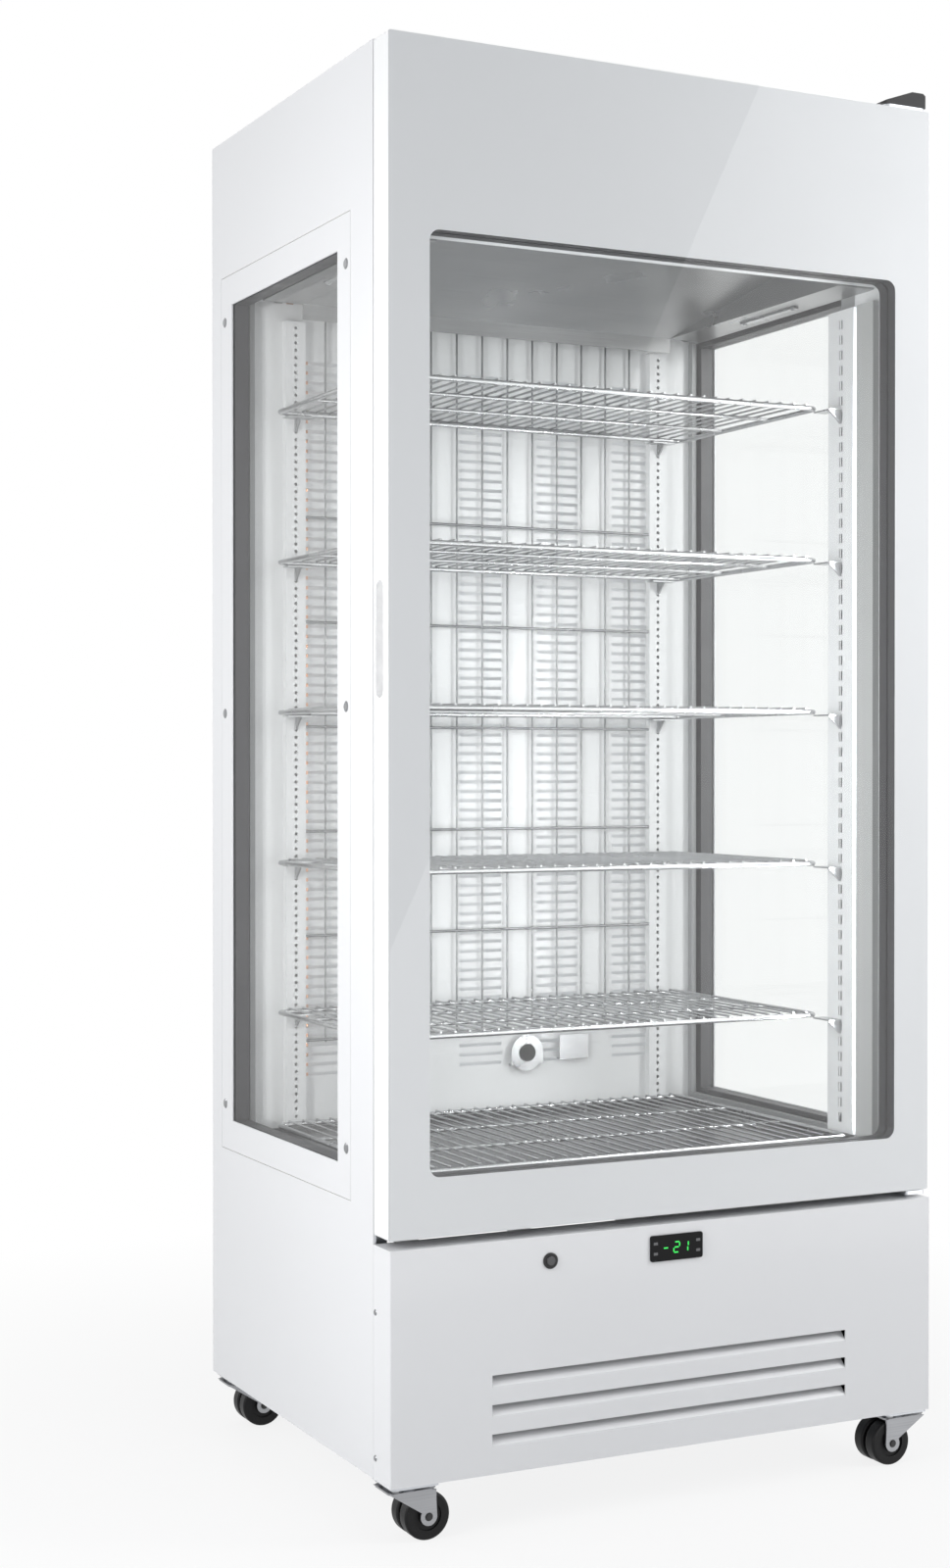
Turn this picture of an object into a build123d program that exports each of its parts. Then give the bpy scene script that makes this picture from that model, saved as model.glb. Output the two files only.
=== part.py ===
from build123d import *
import math
import os

# Vertical pastry display case: one glass door hinged on the right, glazed sides, six
# wire shelves over a machine compartment, on four twin-wheel casters.
# Millimetres. +X is right, +Y is the back, +Z is up, and the floor is z = 0.

# Overall size
cabinet_width = 800.0
cabinet_depth = 620.0
body_height = 1755.0
caster_height = 72.0

# Shell and insulated walls
skin = 2.0
liner = 2.0
side_wall = 38.0
rear_wall = 38.0
roof_wall = 42.0
deck_wall = 42.0
chamber_floor_height = 345.0
seam = 0.5

# Door
door_depth = 48.0
door_gap = 2.5
door_base_gap = 11.0
door_top_gap = 1.0
door_corner_radius = 3.0
door_glass = 5.0
print_thickness = 0.6
inner_pane = 4.0
spacer_width = 8.0
door_window_side = 55.0
door_window_bottom = 72.5
door_window_top = 234.0
door_window_radius = 14.0
door_wall = 3.0
pane_overlap = 10.0
pane_clearance = 1.0
gasket_width = 20.0
gasket_inset = 8.0
gasket_clearance = 0.3

# Finger pull in the door's left edge
pull_height = 143.0
pull_width = 22.0
pull_depth = 24.0
pull_wall = 2.0
pull_centre_height = 1024.5
pull_centre_depth = 31.0

# Door hinges
hinge_inset_x = 10.0
hinge_inset_y = 24.0
hinge_pin_radius = 5.0
hinge_pin_clearance = 0.06
hinge_pin_length = 18.0
hinge_block = 22.0
hinge_plate = 4.0
hinge_plate_length = 64.0
hinge_plate_width = 96.0
hinge_washer_radius = 9.0
hinge_lift = 0.3
hinge_cap_height = 20.0
lower_bracket = 5.0
lower_bracket_width = 30.0
lower_bracket_depth = 64.0

# Side windows
window_front = 120.0
window_width = 462.0
window_bottom = 329.0
window_height = 1232.0
window_border_side = 41.0
window_border_end = 42.0
trim_thickness = 2.0
trim_seam = 0.8
glazing_inset = 1.0
side_pane = 4.0
side_glazing_depth = 28.0
inner_frame_lip = 8.0
window_screw_inset = 14.0
screw_cup_radius = 7.0
screw_cup_height = 1.2
screw_shank_radius = 2.0
screw_shank_length = 6.0

# Lower front cover
cover_height = 287.0
louvre_length = 525.0
louvre_height = 16.0
louvre_pitch = 36.3
louvre_count = 3
louvre_lowest = 41.5
louvre_throw = 14.0
display_width = 77.0
display_height = 33.0
display_z = 257.0
display_bezel = 2.5
display_body_depth = 42.0
display_body_margin = 3.0
button_x = -182.0
button_z = 256.0
button_ring_radius = 10.0
button_hole_radius = 7.5
button_radius = 6.0
button_clearance = 0.3
button_proud = 1.5
button_travel = 2.5
button_body_depth = 22.0
ring_proud = 1.5
cover_screw_heights = (205.0, 27.0)
cover_screw_inset = 6.0

# Chassis and machine frame
pan_flange = 28.0
post_leg = 30.0
post_wall = 2.0
post_front_tab = 278.0
grille_slot_length = 150.0
grille_slot_height = 6.0
grille_slot_pitch = 18.0
grille_rows = 12
grille_columns = 3

# Chamber fittings
duct_gap = 22.0
duct_panel = 1.5
duct_slot_length = 70.0
duct_slot_height = 5.0
duct_slot_pitch = 14.0
duct_columns = 5
duct_column_pitch = 130.0
slot_pitch = 21.25
slots_per_shelf = 10
shelf_count = 5
lowest_shelf = 527.5
pilaster_sheet = 2.0
pilaster_depth = 12.0
front_pilaster_width = 60.0
front_pilaster_offset = 107.0
slot_width = 8.0
slot_height = 13.0
rear_pilaster_width = 30.0
rear_pilaster_x = 300.0
rear_hole_radius = 2.5
pilaster_foot = 15.0
pilaster_head = 16.0

# Wire shelves
shelf_side_gap = 14.0
shelf_front_offset = 165.0
shelf_rear_gap = 7.0
frame_wire = 3.5
cross_wire = 1.5
support_wire = 2.5
cross_wire_pitch = 21.0
weld_bite = 0.3
frame_corner = 14.0
rack_front_offset = 92.0
rack_foot = 9.5
shelf_seat_gap = 0.3

# Shelf clips
clip_ledge = 20.0
clip_length = 40.0
clip_sheet = 2.0
clip_drop = 20.0
clip_pin = 1.6

# Wire guard
guard_wire = 1.5
guard_rail = 2.0
guard_wire_pitch = 42.0
guard_rail_pitch = 150.0
guard_bottom_gap = 132.0
guard_top_reach = 24.0

# Floor tray
tray_sheet = 2.0
tray_rim = 8.0
tray_margin = 16.0

# Probe and brackets on the duct panel
probe_x = 74.0
probe_z = 440.0
probe_radius = 3.0
probe_tab_radius = 27.0
probe_tab_drop = 16.0
probe_tab_hole = 10.0
grommet_radius = 13.0
grommet_height = 2.0
bracket_sheet = 2.0
bracket_inset = 2.0
angle_left = 129.0
angle_right = 178.0
angle_low = 427.0
angle_high = 464.0

# Ceiling cover and its bars
cover_sheet = 2.0
cover_front_drop = 125.0
cover_rear_drop = 187.0
cover_lip = 24.0
cover_strip = 60.0
cover_front_gap = 24.0
cover_rear_gap = 42.0
cover_bar_place = 0.47
cover_bar_width = 8.0
cover_bar_length = 140.0
cover_bar_depth = 3.0
cover_bar_screw = 3.0
cover_bar_screw_inset = 8.0

# Evaporator coil
coil_width = 520.0
coil_depth = 120.0
coil_height = 84.0
coil_end_plate = 2.0
coil_fin = 1.0
coil_fin_pitch = 13.0
coil_tube = 5.0
coil_tube_end = 8.0
coil_fin_inset = 2.0
coil_top_gap = 8.0
coil_tube_rows = (0.3, 0.7)
coil_tube_columns = (0.2, 0.4, 0.6, 0.8)

# Fans
evaporator_fan_size = 120.0
evaporator_fan_depth = 38.0
fan_rotor_share = 0.455
fan_hub_share = 0.36
fan_tip_gap = 2.5
fan_motor_depth = 6.0
fan_strut_radius = 2.5
fan_shaft_radius = 2.0
fan_shaft_clearance = 0.05
fan_shaft_end = 5.0
fan_rotor_inset = 3.0
fan_motor_gap = 1.0
fan_blade_sheet = 1.6
fan_blade_angle = 35.0
fan_coil_gap = 1.0
fan_bracket_sheet = 2.0
fan_bracket_drop = 10.0
fan_bracket_reach = 20.0

# Lamps
lamp_depth = 15.0
lamp_width = 38.0
lamp_offset = 58.0
lamp_wall = 2.0
lamp_lens = 4.0

# Machine compartment
compressor_radius = 78.0
compressor_height = 170.0
compressor_x = 190.0
compressor_y = 110.0
compressor_foot = 15.0
compressor_foot_radius = 12.0
compressor_plate = 3.0
compressor_plate_x = 210.0
compressor_plate_y = 170.0
compressor_plate_corner = 20.0
compressor_dome_share = 0.55
compressor_seam_share = 0.45
compressor_seam_height = 6.0
compressor_seam_reach = 3.0
condenser_width = 320.0
condenser_depth = 48.0
condenser_height = 250.0
condenser_x = -100.0
condenser_front_gap = 30.0
condenser_rows = 8
condenser_fin_pitch = 8.0
condenser_fin_inset = 4.0
condenser_tube = 4.0
condenser_tube_places = (0.3, 0.7)
condenser_fan_size = 220.0
condenser_fan_depth = 40.0
tray_width = 260.0
tray_depth = 200.0
tray_height = 50.0
tray_wall = 2.0
tray_corner = 14.0
tray_x = -200.0
tray_y = 175.0
electrical_width = 80.0
electrical_depth = 120.0
electrical_height = 150.0
electrical_x = 345.0
electrical_y = -120.0
electrical_corner = 4.0
electrical_lid = 2.0
electrical_lid_inset = 6.0
suction_radius = 5.0
suction_bend = 14.0
liquid_radius = 3.5
liquid_bend = 6.0
hot_bend = 20.0
riser_clearance = 1.0
suction_x = -300.0
liquid_x = -276.0
drier_length = 90.0
drier_radius = 10.0
drain_x = -318.0
drain_radius = 6.0
drain_wall = 1.5
gland_radius = 9.0
gland_hex = 13.0
gland_x = 300.0
gland_y_inset = 40.0
gland_drop = 14.0

# Casters
wheel_radius = 30.0
wheel_width = 19.0
wheel_gap = 6.0
hub_radius = 18.0
axle_radius = 4.0
axle_bore_clearance = 0.06
caster_inset_x = 35.0
caster_inset_y = 36.0
caster_trail = 20.0
fork_sheet = 2.5
fork_side_gap = 1.0
fork_crown = 61.5
fork_lobe_radius = 11.0
swivel_radius = 16.0
swivel_pin_radius = 6.0
caster_plate = 3.0
caster_plate_size = 64.0
swivel_gap = 0.3
caster_bolt_spacing = 48.0
caster_bolt_radius = 3.0

# Derived planes
left = -cabinet_width / 2
right = cabinet_width / 2
front_projection = ring_proud + button_proud
front = -cabinet_depth / 2 + front_projection / 2
back = cabinet_depth / 2 + front_projection / 2
base = caster_height
top = base + body_height
side_skin = right - skin
side_inner = right - side_wall
shell_front = front + door_depth + door_gap
frame_back = shell_front + skin
rear_skin = back - skin
rear_foam_front = back - rear_wall + liner
rear_inner = back - rear_wall
roof_skin = top - skin
chamber_top = top - roof_wall
chamber_floor = base + chamber_floor_height
deck_bottom = chamber_floor - deck_wall
door_bottom = base + cover_height + door_base_gap
door_top = top - door_top_gap
door_back = front + door_depth
hinge_x = right - hinge_inset_x
hinge_y = door_back - hinge_inset_y
duct_face = rear_inner - duct_gap
pilaster_face = duct_face - pilaster_depth
pan_floor = base + skin
opening_top = top - door_window_top + 5.0
shelf_half = side_inner - pilaster_depth - shelf_side_gap
shelf_front = front + shelf_front_offset
shelf_rear = pilaster_face - shelf_rear_gap
frame_wire_drop = 2 * cross_wire + frame_wire - weld_bite
shelf_pitch = slots_per_shelf * slot_pitch
clip_slot_y = front + front_pilaster_offset + front_pilaster_width / 2
pilaster_bottom = chamber_floor + pilaster_foot
pilaster_top = top - door_window_top - pilaster_head

os.makedirs("parts", exist_ok=True)


def save(name, *solids):
    """Write one node: a single solid, or a group of separate solids."""
    shapes = []
    for piece in solids:
        shapes.extend(piece.solids())
    shape = shapes[0] if len(shapes) == 1 else Compound(children=shapes)
    export_step(shape, f"parts/{name}.step")


def block(x0, x1, y0, y1, z0, z1):
    """A box between three pairs of planes."""
    centre = ((x0 + x1) / 2, (y0 + y1) / 2, (z0 + z1) / 2)
    return Pos(*centre) * Box(abs(x1 - x0), abs(y1 - y0), abs(z1 - z0))


def plate_y(x0, x1, z0, z1, y0, y1, radius):
    """A plate with its face towards Y and rounded corners."""
    plate = block(x0, x1, y0, y1, z0, z1)
    return fillet(plate.edges().filter_by(Axis.Y), radius)


def plate_z(x0, x1, y0, y1, z0, z1, radius):
    """A flat plate with rounded corners in plan."""
    plate = block(x0, x1, y0, y1, z0, z1)
    return fillet(plate.edges().filter_by(Axis.Z), radius)


def rod(start, end, radius):
    """A round bar between two points."""
    a = Vector(*start)
    b = Vector(*end)
    axis = b - a
    plane = Plane(origin=a, z_dir=axis)
    return plane * Cylinder(radius, axis.length, align=(Align.CENTER, Align.CENTER, Align.MIN))


def pipe_runs(points, radius, bend):
    """A brazed pipe: its straight runs and the elbows between them, each a solid."""
    path = FilletPolyline(*points, radius=bend)
    pieces = []
    for edge in path.edges():
        section = Plane(origin=edge @ 0, z_dir=edge % 0) * Circle(radius)
        pieces.append(sweep(section, path=edge))
    return pieces


def repeated(plane, places, outline, depth):
    """The same outline cut through at many places on one plane."""
    faces = Sketch() + [place * outline for place in places]
    return extrude(plane * faces, depth)


def mirror_x(shape):
    """The same piece on the other side of the cabinet."""
    return mirror(shape, about=Plane.YZ)


def shelf_level(index):
    """Height of the top of a shelf's wires, counted from the lowest shelf."""
    return base + lowest_shelf + index * shelf_pitch


def riser_holes(z0, z1):
    """Clearance holes for the pipes and the drain behind the duct panel."""
    y = (duct_face + rear_inner) / 2
    holes = [
        rod((suction_x, y, z0), (suction_x, y, z1), suction_radius + riser_clearance),
        rod((liquid_x, y, z0), (liquid_x, y, z1), liquid_radius + riser_clearance),
        rod((drain_x, y, z0), (drain_x, y, z1), drain_radius + riser_clearance),
    ]
    return holes


def side_window_box(x0, x1, inset, grow=0.0):
    """A block through the left wall on the window trim's outline, set in or out."""
    y0 = front + window_front + inset - grow
    y1 = front + window_front + window_width - inset + grow
    z0 = base + window_bottom + inset - grow
    z1 = base + window_bottom + window_height - inset + grow
    return block(x0, x1, y0, y1, z0, z1)


def window_sight(x0, x1, grow=0.0):
    """The clear opening of the left side window as a block."""
    y0 = front + window_front + window_border_side - grow
    y1 = front + window_front + window_width - window_border_side + grow
    z0 = base + window_bottom + window_border_end - grow
    z1 = base + window_bottom + window_height - window_border_end + grow
    return block(x0, x1, y0, y1, z0, z1)


def door_window(y0, y1, grow):
    """The clear opening of the door as a rounded block, grown on every side."""
    return plate_y(
        left + door_window_side - grow,
        right - door_window_side + grow,
        door_bottom + door_window_bottom - grow,
        top - door_window_top + grow,
        y0,
        y1,
        door_window_radius,
    )


# Shell


def make_side_panel():
    panel = block(left, -side_skin, shell_front, back, base, top)
    return panel - side_window_box(left - 1, -side_skin + 1, 0, trim_seam)


def make_side_insulation():
    foam = block(-side_skin, -side_inner - liner, frame_back, rear_skin, deck_bottom, roof_skin)
    foam -= side_window_box(left, left + trim_thickness + side_glazing_depth, glazing_inset)
    return foam - inner_frame_block()


def make_side_liner():
    x0 = -side_inner - liner
    sheet = block(x0, -side_inner, frame_back, rear_inner, chamber_floor, chamber_top)
    return sheet - inner_frame_block()


def make_roof_panel():
    return block(-side_skin, side_skin, shell_front, back, roof_skin, top)


def make_roof_insulation():
    half = side_inner + liner
    return block(-half, half, frame_back, rear_foam_front, chamber_top + liner, roof_skin)


def make_ceiling_liner():
    half = side_inner + liner
    return block(-half, half, frame_back, rear_foam_front, chamber_top, chamber_top + liner)


def make_rear_panel():
    return block(-side_skin, side_skin, rear_skin, back, deck_bottom, roof_skin)


def make_rear_insulation():
    half = side_inner + liner
    return block(-half, half, rear_foam_front, rear_skin, deck_bottom, roof_skin)


def make_rear_liner():
    half = side_inner + liner
    return block(-half, half, rear_inner, rear_foam_front, chamber_floor, chamber_top)


def make_deck_insulation():
    half = side_inner + liner
    z0 = deck_bottom
    z1 = chamber_floor - liner
    foam = block(-half, half, frame_back, rear_foam_front, z0, z1)
    return foam - riser_holes(z0 - 1, z1 + 1)


def make_floor_liner():
    half = side_inner + liner
    z0 = chamber_floor - liner
    sheet = block(-half, half, frame_back, rear_foam_front, z0, chamber_floor)
    return sheet - riser_holes(z0 - 1, chamber_floor + 1)


def make_deck_plate():
    z0 = deck_bottom - skin
    sheet = block(-side_skin, side_skin, frame_back, rear_skin, z0, deck_bottom)
    return sheet - riser_holes(z0 - 1, deck_bottom + 1)


def make_front_frame():
    """The white frame that the door closes on, with a lip under its top bar."""
    z0 = deck_bottom - skin
    ring = block(-side_skin, side_skin, shell_front, frame_back, z0, roof_skin)
    ring -= block(-side_inner, side_inner, shell_front - 1, frame_back + 1, chamber_floor, opening_top)
    lip_end = frame_back + cover_front_gap - skin
    lip = block(-side_inner, side_inner, frame_back, lip_end, opening_top, opening_top + skin)
    return ring + lip


def make_chassis_pan():
    pan = block(-side_skin, side_skin, front + skin, rear_skin, base, base + pan_flange)
    inner = side_skin - skin
    pan -= block(-inner, inner, front + 2 * skin, rear_skin - skin, pan_floor, top)
    pan -= rod((gland_x, back - gland_y_inset, 0), (gland_x, back - gland_y_inset, base + 5), gland_radius)
    half = caster_bolt_spacing / 2
    for x, y in caster_centres():
        for dx in (-half, half):
            for dy in (-half, half):
                pan -= rod((x + dx, y + dy, 0), (x + dx, y + dy, base + 5), caster_bolt_radius)
    return pan


def make_machine_frame():
    """Four corner angles that carry the chamber on the chassis pan."""
    z0 = base + pan_flange
    z1 = deck_bottom - skin
    x0 = -side_skin
    x1 = x0 + post_wall
    x2 = x0 + post_leg
    leg_start = shell_front + seam
    leg_y = shell_front + post_leg
    front_leg = block(x0, x1, leg_start, leg_y, z0, z1)
    tab = block(x0, x1, front + 2 * skin, leg_start, z0, base + post_front_tab)
    front_web = block(x0, x2, leg_y, leg_y + post_wall, z0, z1)
    front_post = front_leg + tab + front_web
    rear_leg = block(x0, x1, rear_skin - post_leg, rear_skin, z0, z1)
    rear_web = block(x0, x2, rear_skin - post_wall, rear_skin, z0, z1)
    rear_post = rear_leg + rear_web
    return [front_post, rear_post, mirror_x(front_post), mirror_x(rear_post)]


def make_rear_grille():
    """The slotted cover on the back of the machine compartment."""
    z1 = deck_bottom - seam
    plate = block(-side_skin, side_skin, rear_skin, back, base, z1)
    pitch_x = grille_slot_length + 40.0
    mid = (base + z1) / 2
    slots = GridLocations(pitch_x, grille_slot_pitch, grille_columns, grille_rows)
    slot = SlotOverall(grille_slot_length, grille_slot_height)
    cutter = repeated(Plane.XZ, slots, slot, 3 * skin)
    return plate - Pos(0, back + skin, mid) * cutter


# Side windows


def make_window_trim():
    trim = side_window_box(left, left + trim_thickness, 0)
    trim -= window_sight(left - 1, left + trim_thickness + 1)
    for y, z in window_screw_places():
        trim -= rod((left - 1, y, z), (left + trim_thickness + 1, y, z), screw_shank_radius)
    return trim


def window_screw_places():
    y0 = front + window_front + window_screw_inset
    y1 = front + window_front + window_width - window_screw_inset
    mid = base + window_bottom + window_height / 2
    reach = window_height / 2 - 4.5 * window_screw_inset
    return [(y, mid + k * reach) for y in (y0, y1) for k in (-1, 0, 1)]


def make_side_panes():
    outer_face = left + trim_thickness
    inner_face = outer_face + side_glazing_depth
    outer = side_window_box(outer_face, outer_face + side_pane, glazing_inset)
    inner = side_window_box(inner_face - side_pane, inner_face, glazing_inset)
    for y, z in window_screw_places():
        outer -= rod((left, y, z), (left + screw_shank_length + 1, y, z), screw_shank_radius)
    return [outer, inner]


def make_window_spacer():
    x0 = left + trim_thickness + side_pane
    x1 = left + trim_thickness + side_glazing_depth - side_pane
    bar = side_window_box(x0, x1, glazing_inset)
    bar -= window_sight(x0 - 1, x1 + 1, 0.5)
    for y, z in window_screw_places():
        bar -= rod((x0 - 1, y, z), (left + screw_shank_length, y, z), screw_shank_radius)
    return bar


def inner_frame_block():
    """The space of the inner window frame, which stands on the chamber floor."""
    x0 = left + trim_thickness + side_glazing_depth
    frame = side_window_box(x0, -side_inner, glazing_inset)
    return frame - block(left, right, front, back, base, chamber_floor)


def make_window_inner_frame():
    x0 = left + trim_thickness + side_glazing_depth
    return inner_frame_block() - window_sight(x0 - 1, -side_inner + 1, inner_frame_lip)


def make_window_screws():
    screws = []
    for y, z in window_screw_places():
        shank = rod((left, y, z), (left + screw_shank_length, y, z), screw_shank_radius)
        head = Pos(left - screw_cup_height / 2, y, z) * Rot(0, -90, 0)
        cup = head * Cone(screw_cup_radius, screw_cup_radius - 2.0, screw_cup_height)
        screws.append(shank + cup)
    return screws


# Lower front cover


def louvre_levels():
    return [base + louvre_lowest + k * louvre_pitch for k in range(louvre_count)]


def make_lower_cover():
    """A folded front with side returns, three louvres, and cut-outs for the controls."""
    z1 = base + cover_height
    cover = block(left, right, front, shell_front - seam, base, z1)
    cover = fillet(cover.edges().filter_by(Axis.Z).sort_by(Axis.Y)[:2], skin)
    cover -= block(-side_skin, side_skin, front + skin, back, base - 1, z1 - skin)
    half = louvre_length / 2
    for z in louvre_levels():
        low = z - louvre_height / 2
        cover -= block(-half, half, front - 1, front + 2 * skin, low, low + louvre_height)
        profile = Polyline(
            (front + skin / 4, low),
            (front + skin / 4, low + skin),
            (front + louvre_throw, low + louvre_height),
            (front + louvre_throw, low + louvre_height - skin),
            (front + skin, low),
            close=True,
        )
        blade = extrude(Plane.YZ * make_face(profile), half, both=True)
        cover += blade
    cover -= block(
        -display_width / 2 + display_body_margin,
        display_width / 2 - display_body_margin,
        front - 1,
        front + 2 * skin,
        base + display_z - display_height / 2 + display_body_margin,
        base + display_z + display_height / 2 - display_body_margin,
    )
    z = base + button_z
    cover -= rod((button_x, front - 1, z), (button_x, front + 2 * skin, z), button_hole_radius)
    for z in cover_screw_heights:
        y = shell_front - seam - cover_screw_inset
        cover -= rod((left - 1, y, base + z), (right + 1, y, base + z), screw_shank_radius)
    return cover


def make_cover_screws():
    y = shell_front - seam - cover_screw_inset
    screws = []
    for height in cover_screw_heights:
        z = base + height
        shank = rod((left, y, z), (-side_skin, y, z), screw_shank_radius)
        head = Pos(left - 0.5, y, z) * Rot(0, -90, 0) * Cone(4.0, 3.0, 1.0)
        screws.append(shank + head)
    return screws + [mirror_x(screw) for screw in screws]


def make_controller():
    """The temperature display: a bezel in front of the cover and a body behind it."""
    half_x = display_width / 2
    half_z = display_height / 2
    z = base + display_z
    bezel = plate_y(-half_x, half_x, z - half_z, z + half_z, front - display_bezel, front, 3.0)
    margin = display_body_margin
    body = block(
        -half_x + margin,
        half_x - margin,
        front,
        front + display_body_depth,
        z - half_z + margin,
        z + half_z - margin,
    )
    return bezel + body


def make_button_housing():
    x = button_x
    z = base + button_z
    ring = rod((x, front - ring_proud, z), (x, front, z), button_ring_radius)
    barrel = rod((x, front, z), (x, front + button_body_depth, z), button_hole_radius)
    bore_end = front + button_body_depth - skin
    bore = rod((x, front - 5, z), (x, bore_end, z), button_radius + button_clearance)
    return ring + barrel - bore


def make_button():
    x = button_x
    z = base + button_z
    face = front - ring_proud - button_proud
    end = front + button_body_depth - skin - button_travel - 0.5
    button = rod((x, face, z), (x, end, z), button_radius)
    return fillet(button.edges().sort_by(Axis.Y)[0], 1.0)


# Door


def make_door_glass():
    return plate_y(left, right, door_bottom, door_top, front, front + door_glass, door_corner_radius)


def make_door_print():
    y0 = front + door_glass
    y1 = y0 + print_thickness
    border = plate_y(left, right, door_bottom, door_top, y0, y1, door_corner_radius)
    return border - door_window(y0 - 1, y1 + 1, 0)


def spacer_depth():
    stack = door_glass + print_thickness + 2 * inner_pane + door_wall
    return (door_depth - stack) / 2


def make_door_spacers():
    bars = []
    y0 = front + door_glass + print_thickness
    for _ in range(2):
        y1 = y0 + spacer_depth()
        bar = door_window(y0, y1, spacer_width)
        bars.append(bar - door_window(y0 - 1, y1 + 1, 0.5))
        y0 = y1 + inner_pane
    return bars


def make_door_panes():
    panes = []
    y1 = front + door_glass + print_thickness
    for _ in range(2):
        y0 = y1 + spacer_depth()
        y1 = y0 + inner_pane
        panes.append(door_window(y0, y1, pane_overlap))
    return panes


def pull_slot(x0, x1, width, height):
    """A capsule-ended block along X at the finger pull."""
    y = front + pull_centre_depth
    z = base + pull_centre_height
    shape = block(x0, x1, y - width / 2, y + width / 2, z - height / 2, z + height / 2)
    return fillet(shape.edges().filter_by(Axis.X), width / 2 - 0.01)


def make_pull_cup():
    wall = 2 * pull_wall
    outer = pull_slot(left, left + pull_depth + pull_wall, pull_width + wall, pull_height + wall)
    return outer - pull_slot(left - 1, left + pull_depth, pull_width, pull_height)


def hinge_block_shape(z0, z1):
    x1 = right - door_wall
    y0 = front + door_glass + print_thickness
    return block(hinge_x - hinge_block / 2, x1, y0, door_back - door_wall, z0, z1)


def door_groove():
    """The space inside the door frame's channel, open to the front."""
    y0 = front + door_glass + print_thickness
    y1 = door_back - door_wall
    wall = door_wall
    groove = block(left + wall, right - wall, y0, y1, door_bottom + wall, door_top - wall)
    keep = pane_overlap + pane_clearance + wall
    return groove - door_window(y0 - 1, y1 + 1, keep)


def pin_holes():
    reach = hinge_pin_length + 2.0
    radius = hinge_pin_radius + hinge_pin_clearance
    low = rod((hinge_x, hinge_y, door_bottom - 1), (hinge_x, hinge_y, door_bottom + reach), radius)
    high = rod((hinge_x, hinge_y, door_top - reach), (hinge_x, hinge_y, door_top + 1), radius)
    return [low, high]


def hinge_blocks():
    size = hinge_block + door_wall
    low = hinge_block_shape(door_bottom + door_wall, door_bottom + size)
    high = hinge_block_shape(door_top - size, door_top - door_wall)
    return [low, high]


def make_door_frame():
    """A channel-section ring with solid blocks at the two hinge corners."""
    y0 = front + door_glass + print_thickness
    ring = plate_y(left, right, door_bottom, door_top, y0, door_back, door_corner_radius)
    ring -= door_window(y0 - 1, door_back - door_wall, pane_overlap + pane_clearance)
    ring -= door_window(y0 - 1, door_back + 1, pane_overlap / 2)
    ring -= door_groove()
    for piece in hinge_blocks():
        ring += piece
    wall = 2 * pull_wall
    ring -= pull_slot(left - 1, left + door_wall, pull_width + wall, pull_height + wall)
    return ring - pin_holes()


def make_door_insulation():
    foam = door_groove()
    foam -= hinge_blocks()
    wall = 2 * pull_wall
    foam -= pull_slot(left, left + pull_depth + pull_wall, pull_width + wall, pull_height + wall)
    return foam


def make_door_gasket():
    y0 = door_back
    y1 = shell_front - gasket_clearance
    inset = gasket_inset
    ring = block(left + inset, right - inset, y0, y1, door_bottom + inset, door_top - inset)
    inset += gasket_width
    ring -= block(left + inset, right - inset, y0 - 1, y1 + 1, door_bottom + inset, door_top - inset)
    return ring


def make_upper_hinge():
    x0 = right - skin - hinge_plate_length
    y0 = hinge_y - 14.0
    plate = plate_z(x0, right - skin, y0, y0 + hinge_plate_width, top, top + hinge_plate, 6.0)
    pin = rod((hinge_x, hinge_y, door_top - hinge_pin_length), (hinge_x, hinge_y, top), hinge_pin_radius)
    hinge = plate + pin
    for x, y in upper_hinge_screws():
        hinge -= rod((x, y, top - 1), (x, y, top + hinge_plate + 1), screw_shank_radius)
    return hinge


def upper_hinge_screws():
    y = shell_front + 22.0
    return [(right - skin - 12.0, y), (right - skin - hinge_plate_length + 12.0, y)]


def make_hinge_screws():
    screws = []
    for x, y in upper_hinge_screws():
        z = top + hinge_plate
        shank = rod((x, y, top), (x, y, z), screw_shank_radius)
        head = rod((x, y, z), (x, y, z + 2.0), 4.0)
        screws.append(shank + head)
    return screws


def make_lower_hinge():
    x1 = right - 1.0
    x0 = x1 - lower_bracket_width
    z1 = door_bottom - hinge_plate / 2
    z0 = z1 - lower_bracket
    y0 = hinge_y - 14.0
    arm = block(x0, x1, y0, shell_front - seam, z0, z1)
    arm = fillet(arm.edges().filter_by(Axis.Z).sort_by(Axis.Y)[:2], 4.0)
    x1 = side_skin - post_wall - seam
    x0 = x1 - lower_bracket_width
    tail = block(x0, x1, frame_back, y0 + lower_bracket_depth, z0, deck_bottom - skin)
    neck = block(x0, x1, shell_front - seam, frame_back, z0, z1)
    pin = rod((hinge_x, hinge_y, z1), (hinge_x, hinge_y, door_bottom + hinge_pin_length), hinge_pin_radius)
    return arm + neck + tail + pin


def make_hinge_washer():
    z0 = door_bottom - hinge_plate / 2
    z1 = door_bottom - hinge_lift
    ring = rod((hinge_x, hinge_y, z0), (hinge_x, hinge_y, z1), hinge_washer_radius)
    return ring - rod((hinge_x, hinge_y, z0 - 1), (hinge_x, hinge_y, z1 + 1), hinge_pin_radius)


def make_hinge_cap():
    """The black cover on the upper hinge, which slopes down to the left."""
    x0 = right - skin - hinge_plate_length
    x1 = right - skin
    z0 = top + hinge_plate
    z1 = z0 + hinge_cap_height
    profile = Polyline(
        (x0, z0),
        (x1, z0),
        (x1, z1 - 3.0),
        (x1 - 4.0, z1),
        (x1 - 22.0, z1),
        (x0, z0 + 5.0),
        close=True,
    )
    y0 = hinge_y - 14.0
    face = Plane.XZ * make_face(profile)
    cap = Pos(0, y0 + hinge_plate_width, 0) * extrude(face, hinge_plate_width)
    for x, y in upper_hinge_screws():
        cap -= rod((x, y, z0 - 1), (x, y, z0 + 3.5), 5.0)
    return cap


# Chamber fittings


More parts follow.
